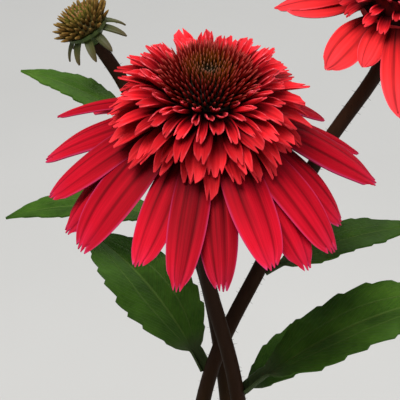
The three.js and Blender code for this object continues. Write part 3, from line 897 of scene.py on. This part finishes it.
# %% Setting spines on a dome
def spiny_cone(name, size, bloom, finish):
    """size: radius, foot, rise, number of spines, their length, thickness, lean, and dimple."""
    radius, foot, rise, count, spine_length, thickness, lean, dimple = size

    def surface(r):
        dome = foot + 1 + (rise - 1) * (1 - (r / radius) ** 2)
        return dome - dimple * math.exp(-((r / (0.24 * radius)) ** 2))

    template = tower("flat_spine", SPINE_SIDES, SPINE_RINGS)
    unit = points_of(template)
    number_points(template, "along", unit[:, 2])
    spines = []
    for i in range(count):
        share = math.sqrt((i + 0.5) / count)
        azimuth = i * GOLDEN_ANGLE
        r = 0.93 * radius * share
        tilt = math.radians(3 + (lean - 3) * share**2 + 4 * draw(i, 11))
        grown = min(1.0, max(0.0, (share - 0.1) / 0.7))
        grown = grown * grown * (3 - 2 * grown)
        spread = 1 + 0.12 * draw(i, 41)
        length = SHORTEST_SPINE + spine_length * (0.30 + 0.70 * grown) * spread
        girth = thickness * (0.72 + 0.28 * share)
        turn = Matrix.Rotation(azimuth, 3, "Z") @ Matrix.Rotation(tilt, 3, "Y")
        places = unit * np.array([girth, girth, length]) @ np.array(turn).T
        places += np.array(on_rim(r, surface(r) - SPINE_ROOT, azimuth))
        spine = copy_of(template, places, draw(i, 42), bloom)
        number_points(spine, "ring", share)
        spines.append(spine)
    throw_away(template)
    rings = [(foot, radius - 0.4), (foot + 0.6, radius)]
    rings += [(surface(share * radius), share * radius) for share in DOME_SHARES]
    dome = tower("dome", DOME_SIDES, rings)
    core = only_copy(dome, points_of(dome), -1.0, bloom)
    number_points(core, "along", 0.0)
    number_points(core, "ring", 0.5)
    return join(name, [*spines, core], finish, 60)


# %% The two cones
def cone_finish(name, foot, middle, between, edge, tip):
    """Colours of a spine's foot, of its body from the cone's middle to its edge, and of its tip."""
    finish = Finish(name, Roughness=0.5, Specular_IOR_Level=0.05)
    along, ring, tone = [finish.number(key) for key in ("along", "ring", "tone")]
    stops = [(0.10, *middle), (0.42, *between), (0.70, *edge), (1.0, *edge)]
    body = finish.ramp(ring + tone * 0.06, stops)
    body = finish.shade(body, 0.94 + tone * 0.3)
    dark = finish.mix(along.between(0.25, 0.62), foot, body)
    tips = finish.ramp(ring, [(0.0, 0.34, 0.22, 0.15), (0.26, 0.34, 0.10, 0.055), (0.62, *tip)])
    finish.feed("Base Color", finish.mix(along.between(0.72, 0.98), dark, tips))
    return finish


ember = cone_finish(
    "cone_spines",
    (0.006, 0.003, 0.001),
    (0.026, 0.022, 0.005),
    (0.18, 0.038, 0.003),
    (0.15, 0.004, 0.003),
    (0.42, 0.050, 0.040),
)
MAIN_CONE = (10.6, 7.4, 7.0, 350, 5.0, 0.40, 46, 1.6)
YOUNG_CONE = (8.4, 7.4, 5.0, 190, 4.0, 0.42, 40, 0.8)
main_cone = spiny_cone("main_cone", MAIN_CONE, MAIN_FRAME, ember)
belongs(main_cone, "main_bloom_cone")
dusk = cone_finish(
    "young_spines",
    (0.006, 0.002, 0.002),
    (0.020, 0.030, 0.008),
    (0.09, 0.012, 0.008),
    (0.17, 0.006, 0.010),
    (0.34, 0.020, 0.022),
)
young_cone = spiny_cone("young_cone", YOUNG_CONE, YOUNG_FRAME, dusk)
belongs(young_cone, "young_bloom_cone")

# %% [markdown]
# ## Bracts
# Under each bloom the stem flares into a green cup, and narrow pointed bracts stand out of it. They
# could be pulled out of the cup's own faces, but then they would share its smoothness. So the cup
# is a tower of wide rings, and the bracts are small folded blades laid on short arcs.


# %% The bracts' finish
sepal = Finish("bract_green", Roughness=0.55, Specular_IOR_Level=0.25)
sepal_across, sepal_along = sepal.surface()
sepal_tone = sepal.number("tone")
sepal_fibres = sepal.strands(sepal_across * 8, sepal_along, sepal_tone * 9, 2.0)
sepal_colour = sepal.ramp(
    sepal_along + (sepal_fibres - 0.5) * 0.3,
    [(0.0, 0.050, 0.085, 0.018), (1.0, 0.085, 0.060, 0.022)],
)
sepal_light = 0.9 + (sepal_fibres - 0.5) * 0.6 + sepal_tone * 0.15
sepal.feed("Base Color", sepal.shade(sepal_colour, sepal_light))
sepal.bump(sepal_fibres, 0.15, 0.4)

# %% Making bracts
BRACT_COLUMNS, BRACT_ROWS = 4, 8
BRACT_HALF_WIDTH = 1.35
BRACT_ROOT = 3
BRACT_WALL = 0.5
BRACT_POINT = 0.08
# For the upper and the lower row: how far in and how far down the root is, tilts at root and tip
BRACT_LEVELS = [(3.2, 1.3, -24, -62), (4.2, 2.5, -34, -74)]


def bract_width(along):
    if along < 1:
        return 0.2 + 0.8 * math.sin(math.pi * (0.25 + 0.75 * along)) ** 0.8
    return BRACT_POINT


def bract_fold(side):
    return 0.30 * abs(side)


def bract_ring(name, radius, foot, top, rows, count, length, bloom):
    """Rows of bracts round a cup that goes from foot to top and widens to the radius."""
    grid = shape_blade("flat_bract", BRACT_COLUMNS, BRACT_ROWS, bract_width, bract_fold)
    whole = length + BRACT_ROOT
    template = full_size(grid, BRACT_HALF_WIDTH, whole)
    flat = points_of(template)
    pieces = []
    for i in range(rows * count):
        level = i // count
        inset, drop, start, end = BRACT_LEVELS[level]
        azimuth = from_front(360 * (i + 0.5 * level) / count + 5 * draw(i, 12))
        tilts = (math.radians(start), math.radians(end + 8 * draw(i, 13)))
        share = (length * (1 + 0.1 * draw(i, 14)) + BRACT_ROOT) / whole
        root = on_rim(radius - inset, top - drop, azimuth)
        arc = Arc(root, azimuth, tilts, whole * share)
        pieces.append(copy_of(template, arc.bend(flat, share), draw(i, 43), bloom))
    throw_away(template)
    blades = thicken(gather(pieces), BRACT_WALL)
    flare = foot + 0.3 * (top - foot)
    rings = [(foot, 2.3), (flare, 3.4), (top - 1, radius), (top, radius)]
    cup = tower("cup", DISC_SIDES, rings)
    return join(name, [blades, only_copy(cup, points_of(cup), 0.0, bloom)], sepal)


main_bracts = bract_ring("main_bracts", 10, -7.5, -3.5, 2, 9, 8, MAIN_FRAME)
belongs(main_bracts, "main_bloom_bracts")
young_bracts = bract_ring("young_bracts", 9, -7.5, -3.5, 1, 10, 7, YOUNG_FRAME)
belongs(young_bracts, "young_bloom_bracts")
bud_bracts = bract_ring("bud_bract_ring", 7, -6, 0, 1, 10, 6, BUD_FRAME)
belongs(bud_bracts, "bud_bracts")

# %% [markdown]
# ## The bud
# The bud is still a tight button. Its spines are the cone's spines, thicker, closer, olive with
# reddish ends, so the same maker serves.

# %% The bud
olive = cone_finish(
    "bud_spines",
    (0.040, 0.030, 0.006),
    (0.170, 0.170, 0.028),
    (0.165, 0.150, 0.024),
    (0.130, 0.070, 0.016),
    (0.24, 0.150, 0.040),
)
bud = spiny_cone("bud_button", (7, 0.3, 5, 110, 3.0, 0.62, 60, 0.5), BUD_FRAME, olive)
belongs(bud, "bud_florets")

# %% [markdown]
# ## Stems
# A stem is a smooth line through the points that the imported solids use, made thick with a round
# bevel and turned into a mesh. Stiff hairs stand all over it. A hair system would stay live and be
# lost on export, so one spike is drawn, and hundreds of copies are set along the line in the
# pattern in which leaves grow.


# %% The line of a stem
class Route:
    """A smooth line through points, which place and heading follow by a share of its length."""

    STEPS = 200

    def __init__(self, points):
        points = np.array(points, dtype=float)
        self.spans = len(points) - 1
        before, after = 2 * points[0] - points[1], 2 * points[-1] - points[-2]
        self.points = np.vstack([before, points, after])
        self.knots = np.linspace(0, 1, self.STEPS + 1)
        track = np.array([self.at(knot) for knot in self.knots])
        walked = np.cumsum(np.linalg.norm(np.diff(track, axis=0), axis=1))
        self.walked = np.concatenate([[0], walked])
        self.length = self.walked[-1]

    def at(self, knot):
        span = min(int(knot * self.spans), self.spans - 1)
        t = knot * self.spans - span
        a, b, c, d = self.points[span : span + 4]
        e, f, g = [math.sqrt(np.linalg.norm(q - p)) for p, q in ((a, b), (b, c), (c, d))]
        leave = ((b - a) / e - (c - a) / (e + f) + (c - b) / f) * f
        arrive = ((c - b) / f - (d - b) / (f + g) + (d - c) / g) * f
        square = 3 * (c - b) - 2 * leave - arrive
        cube = 2 * (b - c) + leave + arrive
        return b + t * (leave + t * (square + t * cube))

    def place(self, share):
        return self.at(np.interp(share * self.length, self.walked, self.knots))

    def heading(self, share):
        step = 1e-3
        ahead = self.place(min(1, share + step)) - self.place(max(0, share - step))
        return ahead / np.linalg.norm(ahead)

    def outward(self, share, angle):
        """The direction at an angle round the line, square to it."""
        heading = self.heading(share)
        level = np.array([math.cos(angle), math.sin(angle), 0])
        square = level - level.dot(heading) * heading
        return square / np.linalg.norm(square)


# %% Where the stems run
STEM_FOOT = 124.3
STRAIGHT_END = 18
CUP_GAP = 0.3
# Frame of the bloom, underside of its cup, and the points that the stem passes
STEM_POINTS = {
    "main": (MAIN_FRAME, -7.5, [(14, -4, 160), (11, -5, 240), (0.5, -4, 330), (-8.5, -3.5, 372)]),
    "young": (
        YOUNG_FRAME,
        -7.5,
        [(-14, 6, 160), (-15, 7, 240), (-7, 9, 321), (9, 15, 360), (27, 27, 393)],
    ),
    "bud": (BUD_FRAME, -6, [(2, 18, 160), (2, 24, 250), (-7, 42, 330), (-24, 58, 374)]),
}
ROUTES = {}
for name, (bloom, end, points) in STEM_POINTS.items():
    foot = (points[0][0], points[0][1], STEM_FOOT)
    neck, tip = [bloom @ Vector((0, 0, end - CUP_GAP - below)) for below in (STRAIGHT_END, 0)]
    ROUTES[name] = Route([foot, *points, tuple(neck), tuple(tip)])
    print(name, "stem is", round(ROUTES[name].length), "mm long")

# %% The stems' finish
dusky = Finish("dusky_stem", Roughness=0.55, Specular_IOR_Level=0.06)
dusky_x, dusky_y, dusky_z = dusky.parts(dusky.place())
fibres = dusky.strands(dusky_x * 900, dusky_y * 900, dusky_z * 40)
blotches = dusky.grain(60.0)
height = dusky_z.between(0.14, 0.40) + (blotches - 0.5) * 0.35
stem_colour = dusky.ramp(
    height,
    [(0.0, 0.060, 0.078, 0.016), (0.35, 0.044, 0.026, 0.009), (0.8, 0.025, 0.0105, 0.0050)],
)
dusky.feed("Base Color", dusky.shade(stem_colour, 0.75 + fibres * 0.55))
dusky.bump(fibres, 0.25, 0.5)


# %% Making stems
STEM_SIDES = 16
STEM_RINGS = 60
FOOT_RADIUS, TOP_RADIUS = 2.7, 2.1
SWELLINGS = 7


def stem_radius(share):
    return FOOT_RADIUS + (TOP_RADIUS - FOOT_RADIUS) * share


def tube_along(name, route):
    """A round stem: a curve with a round bevel, converted to a mesh."""
    line = bpy.data.curves.new(name, "CURVE")
    line.dimensions = "3D"
    line.bevel_depth = 1
    line.bevel_resolution = (STEM_SIDES - 4) // 2
    line.use_fill_caps = True
    track = line.splines.new("POLY")
    track.points.add(STEM_RINGS)
    for i, point in enumerate(track.points):
        share = i / STEM_RINGS
        point.co = (*(route.place(share) * MM), 1)
        swelling = 0.06 * math.exp(-(((share * SWELLINGS) % 1 - 0.5) / 0.08) ** 2)
        point.radius = (stem_radius(share) + swelling) * MM
    stem = bpy.data.objects.new(name, line)
    bpy.context.collection.objects.link(stem)
    gather([stem])
    bpy.ops.object.convert(target="MESH")
    return bpy.context.object


# %% Hairs, and the finished stems
HAIRS_PER_STEM = 420
HAIR_THICKNESS = 0.07
HAIR_ROOT = 0.1
HAIR_SIDES = 3
HAIR_RINGS = [(0.0, 1.0), (0.6, 0.6), (1.0, 0.12)]


def hairs_along(template, route):
    unit = points_of(template)
    for i in range(HAIRS_PER_STEM):
        share = 0.12 + 0.87 * (i + 0.5) / HAIRS_PER_STEM
        outward = route.outward(share, i * GOLDEN_ANGLE + 0.5 * draw(i, 51))
        lean = outward + 0.35 * route.heading(share) * draw(i, 52)
        turn = Vector(lean).to_track_quat("Z", "Y").to_matrix()
        length = 1.0 + 0.35 * draw(i, 53)
        places = unit * np.array([HAIR_THICKNESS, HAIR_THICKNESS, length]) @ np.array(turn).T
        root = outward * (stem_radius(share) - HAIR_ROOT)
        yield copy_of(template, places + route.place(share) + root, draw(i, 54))


bristle = tower("flat_hair", HAIR_SIDES, HAIR_RINGS)
for name, route in ROUTES.items():
    tube = tube_along(name + "_tube", route)
    number_points(tube, "tone", 0.0)
    stem = join(name + "_stem_round", [tube, *hairs_along(bristle, route)], dusky, 50)
    belongs(stem, name + "_stem")
throw_away(bristle)

# %% [markdown]
# ## Leaves
# A coneflower's leaf is egg-shaped with a drawn-out point, coarse teeth and a channelled stalk, and
# its main veins run from the stalk to the point in long curves. One leaf with a short stalk is
# drawn for the stems and one with a long stalk for the foot of the plant. Each copy is scaled,
# waved and laid on its own arc.

# %% Drawing a leaf
LEAF_COLUMNS = 16
LEAF_ROWS = 54
LEAF_WALL = 0.6
STALK_HALF = 1.7
TEETH_PER_SIDE = 9
LEAF_TOOTH_DEPTH = 0.11
LEAF_POINT = 0.03
CHANNEL_END = 0.06
# Powers that make a sine egg-shaped: the first moves its top back, the second fills it out
EGG_BACK, EGG_FULL = 0.78, 0.85


def blade_width(share):
    """Half width of a leaf at a share of its blade: egg-shaped, and drawn out to a point."""
    if share < 1:
        return max(LEAF_POINT, math.sin(math.pi * share**EGG_BACK) ** EGG_FULL)
    return LEAF_POINT


def leaf_template(name, stalk, stalk_half):
    """stalk: its share of the length, stalk_half: its half width as a share of the leaf's."""

    def width(along):
        share = (along - stalk) / (1 - stalk)
        if share <= 0:
            return stalk_half
        return max(blade_width(share), stalk_half * (1 - 0.9 * share))

    def relief(side):
        rib = math.exp(-((side / 0.10) ** 2))
        return 0.16 * abs(side) * (1 - 0.35 * abs(side)) - 0.035 * rib

    grid = shape_blade(name, LEAF_COLUMNS, LEAF_ROWS, width, relief)
    across = LEAF_COLUMNS + 1
    for row in range(LEAF_ROWS + 1):
        share = (row / LEAF_ROWS - stalk) / (1 - stalk)
        if share < CHANNEL_END:
            # The stalk is a channel: its sides are lifted, and the lift fades into the blade.
            fade = min(1.0, 1 - share / CHANNEL_END) if share > 0 else 1.0
            for column in range(across):
                side = 2 * column / LEAF_COLUMNS - 1
                corner = row * across + column
                pick(grid, lambda vertex: vertex.index == corner)
                move(0, 0, 1.1 * stalk_half * side * side * fade)
        elif share < 0.99:
            # Teeth point towards the tip: each grows slowly and drops back at once.
            tooth = (share * TEETH_PER_SIDE) % 1
            cut = LEAF_TOOTH_DEPTH * (1 - tooth) ** 1.2
            pick(grid, lambda vertex: vertex.index in (row * across, row * across + LEAF_COLUMNS))
            resize(1 - cut, 1, 1)
            inner = (row * across + 1, row * across + LEAF_COLUMNS - 1)
            pick(grid, lambda vertex: vertex.index in inner)
            resize(1 - 0.4 * cut, 1, 1)
    return full_size(grid, 1, 1)


# %% Laying a leaf on its arc
def grow_leaf(name, template, stalk, arc, half_width, seed):
    flat = points_of(template)
    share = np.clip((flat[:, 1] - stalk) / (1 - stalk), 0, 1)
    width = np.clip(np.sin(np.pi * share**EGG_BACK), 0, 1) ** EGG_FULL
    side = flat[:, 0] / np.maximum(width, 0.05)
    shaped = flat * np.array([half_width, arc.length, half_width])
    wave = 0.05 * np.sin(16 * share + side) + 0.02 * np.sin(31 * share - 2 * side + seed)
    shaped[:, 2] += half_width * wave * side**2 * width
    leaf = copy_of(template, arc.bend(shaped), draw(seed, 61))
    leaf = join(name + "_veined", [thicken(leaf, LEAF_WALL)], foliage, 50)
    belongs(leaf, name)


# %% The leaves' finish
foliage = Finish("leaf_green", Roughness=0.52, Specular_IOR_Level=0.07)
leaf_across, leaf_along = foliage.surface()
leaf_tone = foliage.number("tone")
side = leaf_across * 2 - 1
reach = abs(side)
stalk_part = leaf_along.between(0.10, 0.22)
midrib = 1 - reach.between(0.012, 0.05)
bowed = abs(reach - (1 - (leaf_along * 2 - 1) ** 2) * 0.12 - 0.26)
nerves = 1 - bowed.between(0.008, 0.035)
ladder = leaf_along * 30 - reach * 9
side_veins = abs(ladder.math("FRACT", ladder) - 0.5).between(0.38, 0.5) * 0.6
mesh_veins = foliage.cells(foliage.vector(leaf_across * 18, leaf_along * 46), 1.0)
mottle = foliage.grain(90.0)
veins = (midrib + nerves * 0.7 + side_veins).between(0.0, 1.2)
leaf_colour = foliage.ramp(
    mottle + leaf_tone * 0.12 + (mesh_veins - 0.5) * 0.15,
    [(0.25, 0.025, 0.066, 0.006), (0.55, 0.045, 0.114, 0.010), (0.85, 0.073, 0.164, 0.015)],
)
leaf_colour = foliage.mix(veins * 0.55 * stalk_part, leaf_colour, (0.105, 0.175, 0.035))
foliage.feed("Base Color", foliage.mix(1 - stalk_part, leaf_colour, (0.050, 0.075, 0.026)))
foliage.bump(mesh_veins * 0.35 - veins * 0.9, 0.5, 0.7)

# %% Leaves on the stems
LEAF_SEAT = 0.8
STEM_LEAF_WIDTH, CROWN_LEAF_WIDTH = 12, 22
# Share of the stem, azimuth, tilts at root and tip, length, half width
STEM_LEAVES = {
    "main": [
        (0.34, -60, 38, -34, 88, 13),
        (0.52, 215, 40, -26, 76, 12),
        (0.68, 14, 42, -8, 80, 14),
    ],
    "young": [
        (0.32, 150, 36, -30, 88, 13),
        (0.6, 126, 42, -6, 66, 14),
        (0.72, 18, 26, -14, 54, 9),
    ],
    "bud": [
        (0.34, 84, 36, -30, 80, 13),
        (0.56, 30, 40, -20, 66, 11),
        (0.78, 186, 30, -16, 56, 10),
        (0.9, 160, 30, 4, 40, 7),
    ],
}
SHORT_STALK, LONG_STALK = 0.1, 0.34
short_leaf = leaf_template("flat_stem_leaf", SHORT_STALK, STALK_HALF / STEM_LEAF_WIDTH)
for name, leaves in STEM_LEAVES.items():
    for i, (share, degrees, start, end, length, half_width) in enumerate(leaves):
        azimuth = math.radians(degrees)
        route = ROUTES[name]
        seat = route.outward(share, azimuth) * (stem_radius(share) + LEAF_SEAT)
        root = route.place(share) + seat
        tilts = (math.radians(start), math.radians(end))
        arc = Arc(root, azimuth, tilts, length, 0.05 * draw(i, 15), 0.2 * draw(i + length, 16))
        grow_leaf(f"{name}_leaf_{i + 1}", short_leaf, SHORT_STALK, arc, half_width, 7 * i + length)
throw_away(short_leaf)

# %% Leaves round the foot
CROWN_CENTRE = (0, 5)
CROWN_RADII = (30, 26)
CROWN_FOOT = 128
CROWN_TILT = 80
# Azimuth, length, half width, tilt at the tip
CROWN_LEAVES = [
    (20, 150, 23, -38),
    (72, 138, 22, -30),
    (128, 146, 23, -40),
    (176, 150, 22, -34),
    (232, 132, 21, -42),
    (278, 128, 20, -46),
    (322, 142, 22, -36),
]
long_leaf = leaf_template("flat_foot_leaf", LONG_STALK, STALK_HALF / CROWN_LEAF_WIDTH)
for i, (degrees, length, half_width, end) in enumerate(CROWN_LEAVES):
    azimuth = math.radians(degrees)
    x, y, _ = on_rim(CROWN_RADII[i % 2], 0, azimuth)
    root = (CROWN_CENTRE[0] + x, CROWN_CENTRE[1] + y, CROWN_FOOT)
    tilts = (math.radians(CROWN_TILT), math.radians(end))
    arc = Arc(root, azimuth, tilts, length, 0.08 * draw(i, 17), 0.25 * draw(i, 18))
    grow_leaf(f"crown_leaf_{i + 1}", long_leaf, LONG_STALK, arc, half_width, 11 * i + 3)
throw_away(long_leaf)

# %% [markdown]
# ## The pot
# The pot is plain fired clay: a tapered wall, a thick band round the rim and three drain holes. A
# spin of its profile would do as well. It is drawn out ring by ring, over the rim and down the
# inside, because the tower above already does that. Its edges are rounded with a bevel, and the
# holes are cut with cylinders.

# %% Shaping the pot
POT_SIDES = 96
DRAIN_HOLES = 3
DRAIN_OFFSET = 32
DRAIN_RADIUS = 5
# Height and radius, up the outside, over the rim and down the inside
POT_RINGS = [
    (0, 56), (2, 58), (20, 61.34), (45, 65.98), (70, 70.61), (95, 75.25), (126, 81),
    (128, 86), (143, 88), (158, 90), (160, 88), (160, 84), (158, 82), (84.5, 66.5), (11, 51),
]  # fmt: skip
pot = tower("clay_pot", POT_SIDES, POT_RINGS)
places = points_of(pot) * MM
pot.data.vertices.foreach_set("co", places.ravel())
rounding = pot.modifiers.new("rounding", "BEVEL")
rounding.width = 0.9 * MM
rounding.segments = 3
rounding.limit_method = "ANGLE"
rounding.angle_limit = math.radians(24)
settle(pot, rounding)
for i in range(DRAIN_HOLES):
    x, y, _ = on_rim(DRAIN_OFFSET, 0, math.radians(360 / DRAIN_HOLES * i))
    bpy.ops.mesh.primitive_cylinder_add(
        vertices=24, radius=DRAIN_RADIUS * MM, depth=40 * MM, location=(x * MM, y * MM, 0)
    )
    drill = bpy.context.object
    cut = pot.modifiers.new("drain_hole", "BOOLEAN")
    cut.operation = "DIFFERENCE"
    cut.object = drill
    settle(pot, cut)
    throw_away(drill)

# %% The clay
clay = Finish("fired_clay", Roughness=0.88)
clay_x, clay_y, clay_z = clay.parts(clay.place())
blotch = clay.grain(22.0, 4.0)
grit = clay.grain(900.0)
turning = clay.strands(clay_x * 4, clay_y * 4, clay_z * 700)
lime = clay.grain(38.0, 5.0, 0.7)
clay_colour = clay.ramp(
    blotch,
    [(0.25, 0.33, 0.115, 0.052), (0.5, 0.43, 0.165, 0.080), (0.8, 0.50, 0.215, 0.115)],
)
clay_colour = clay.shade(clay_colour, 0.90 + (grit - 0.5) * 0.35 + (turning - 0.5) * 0.25)
chalky = lime.between(0.55, 0.78) * (1 - clay_z.between(0.060, 0.128) * 0.6) * 0.5
clay_colour = clay.mix(chalky, clay_colour, (0.62, 0.50, 0.42))
# Darker towards the bottom of the pot
darker_foot = (1 - (clay_z + (blotch - 0.5) * 0.02).between(0.004, 0.022)) * 0.45
clay_colour = clay.mix(darker_foot, clay_colour, (0.13, 0.060, 0.035))
clay.feed("Base Color", clay_colour)
clay.bump(grit * 0.5 + turning * 0.5, 0.35, 0.6)
pot = join("clay_pot", [pot], clay, 35)
belongs(pot, "pot")

# %% [markdown]
# ## Potting soil
# The soil fills the pot to a little below its rim. Its lumpy surface is a tower whose top rings run
# inwards. Lumps alone look like a cloth, so crumbs, bark chips and white perlite lie on it as
# separate bits, small ones more often than large.

# %% The soil's finish
loam = Finish("loam", Roughness=0.95)
clods = loam.grain(160.0, 5.0, 0.65)
fine = loam.grain(900.0)
loam_colour = loam.ramp(
    clods + (fine - 0.5) * 0.4 + loam.number("tone") * 0.15,
    [(0.25, 0.008, 0.005, 0.003), (0.5, 0.022, 0.013, 0.008), (0.85, 0.060, 0.036, 0.022)],
)
loam.feed("Base Color", loam_colour)
loam.bump(clods + fine * 0.4, 1.2, 0.9)
perlite = Finish("perlite", Roughness=0.9)
white = perlite.grain(500.0)
perlite.feed("Base Color", perlite.ramp(white, [(0.3, 0.50, 0.47, 0.42), (0.7, 0.78, 0.76, 0.71)]))
bark = Finish("bark", Roughness=0.85)
grain = bark.grain(400.0, 4.0)
bark.feed("Base Color", bark.ramp(grain, [(0.3, 0.030, 0.013, 0.006), (0.7, 0.13, 0.055, 0.025)]))
bark.bump(grain, 0.4, 0.7)

# %% Making the soil
SOIL_TOP = 142.0
SOIL_BOTTOM = 11.3
SOIL_RINGS = 28
SOIL_GAP = 0.3
SOIL_SHRINK = 0.994


def soil_radius(height):
    """The pot's inside at a height, less a gap, and less a little for the pot's flat sides."""
    pot_inside = 51 + 31 * (height - 11) / 149
    return (pot_inside - SOIL_GAP) * SOIL_SHRINK


def soil_height(x, y):
    lumps = math.sin(0.21 * x + 1.3) * math.cos(0.19 * y) + 0.6 * math.sin(0.47 * x - 0.39 * y)
    return SOIL_TOP + lumps


SOIL_EDGE = soil_radius(140.4)
soil_rings = [(SOIL_BOTTOM, soil_radius(SOIL_BOTTOM)), (SOIL_TOP, SOIL_EDGE)]
soil_rings += [(SOIL_TOP, SOIL_EDGE * (1 - i / SOIL_RINGS)) for i in range(1, SOIL_RINGS)]
plug = tower("soil_plug", POT_SIDES, soil_rings)
places = points_of(plug)
for place in places:
    if place[2] > SOIL_TOP - 1:
        x, y = place[0], place[1]
        coarse = noise.noise(Vector((x, y, 0)) * 0.22)
        fine_lumps = coarse + 0.5 * noise.noise(Vector((x, y, 5)) * 0.6)
        place[2] = soil_height(x, y) + 0.9 * fine_lumps
soil_bed = only_copy(plug, places, 0.0)
wear(soil_bed, loam)
soil_pieces = [soil_bed]

# %% Crumbs, perlite and bark
CRUMB_MARGIN = 3


def scatter(template, finish, count, sizes, salt):
    """Copies lying about on the soil, between the stems and the pot."""
    unit = points_of(template)
    low, high = sizes
    made = []
    for i in range(count):
        radius = (SOIL_EDGE - CRUMB_MARGIN) * math.sqrt(0.5 + 0.5 * draw(i, salt))
        x, y, _ = on_rim(radius, 0, math.pi * draw(i, salt + 1))
        size = low + (high - low) * (0.5 + 0.5 * draw(i, salt + 2)) ** 2
        angles = [math.pi * draw(i, salt + 3 + k) for k in range(3)]
        turn = Matrix.Rotation(angles[0], 3, "X") @ Matrix.Rotation(angles[1], 3, "Z")
        bumps = 1 + 0.3 * np.sin(unit * 5 + angles[2])
        form = np.array([1, 0.75 + 0.2 * draw(i, salt + 6), 0.6]) * size
        shaped = (unit * bumps * form) @ np.array(turn).T
        place = np.array([x, y, soil_height(x, y) + 0.15 * size])
        made.append(copy_of(template, shaped + place, draw(i, salt + 7)))
        wear(made[-1], finish)
    throw_away(template)
    return made


# How many crumbs, their least and greatest size in mm, and the salt of their draws
for finish, count, sizes, salt in ((loam, 700, (0.7, 3.0), 70), (perlite, 46, (0.7, 1.8), 80)):
    bpy.ops.mesh.primitive_ico_sphere_add(subdivisions=1, radius=1)
    soil_pieces += scatter(bpy.context.object, finish, count, sizes, salt)
bpy.ops.mesh.primitive_cube_add(size=1.6)
chip = bpy.context.object
bpy.ops.transform.resize(value=(1.6, 1, 0.4))
bpy.ops.object.transform_apply(location=False, rotation=False)
soil_pieces += scatter(chip, bark, 90, (1.2, 3.8), 90)
soil = join("potting_soil", soil_pieces, None, 50)
belongs(soil, "soil")
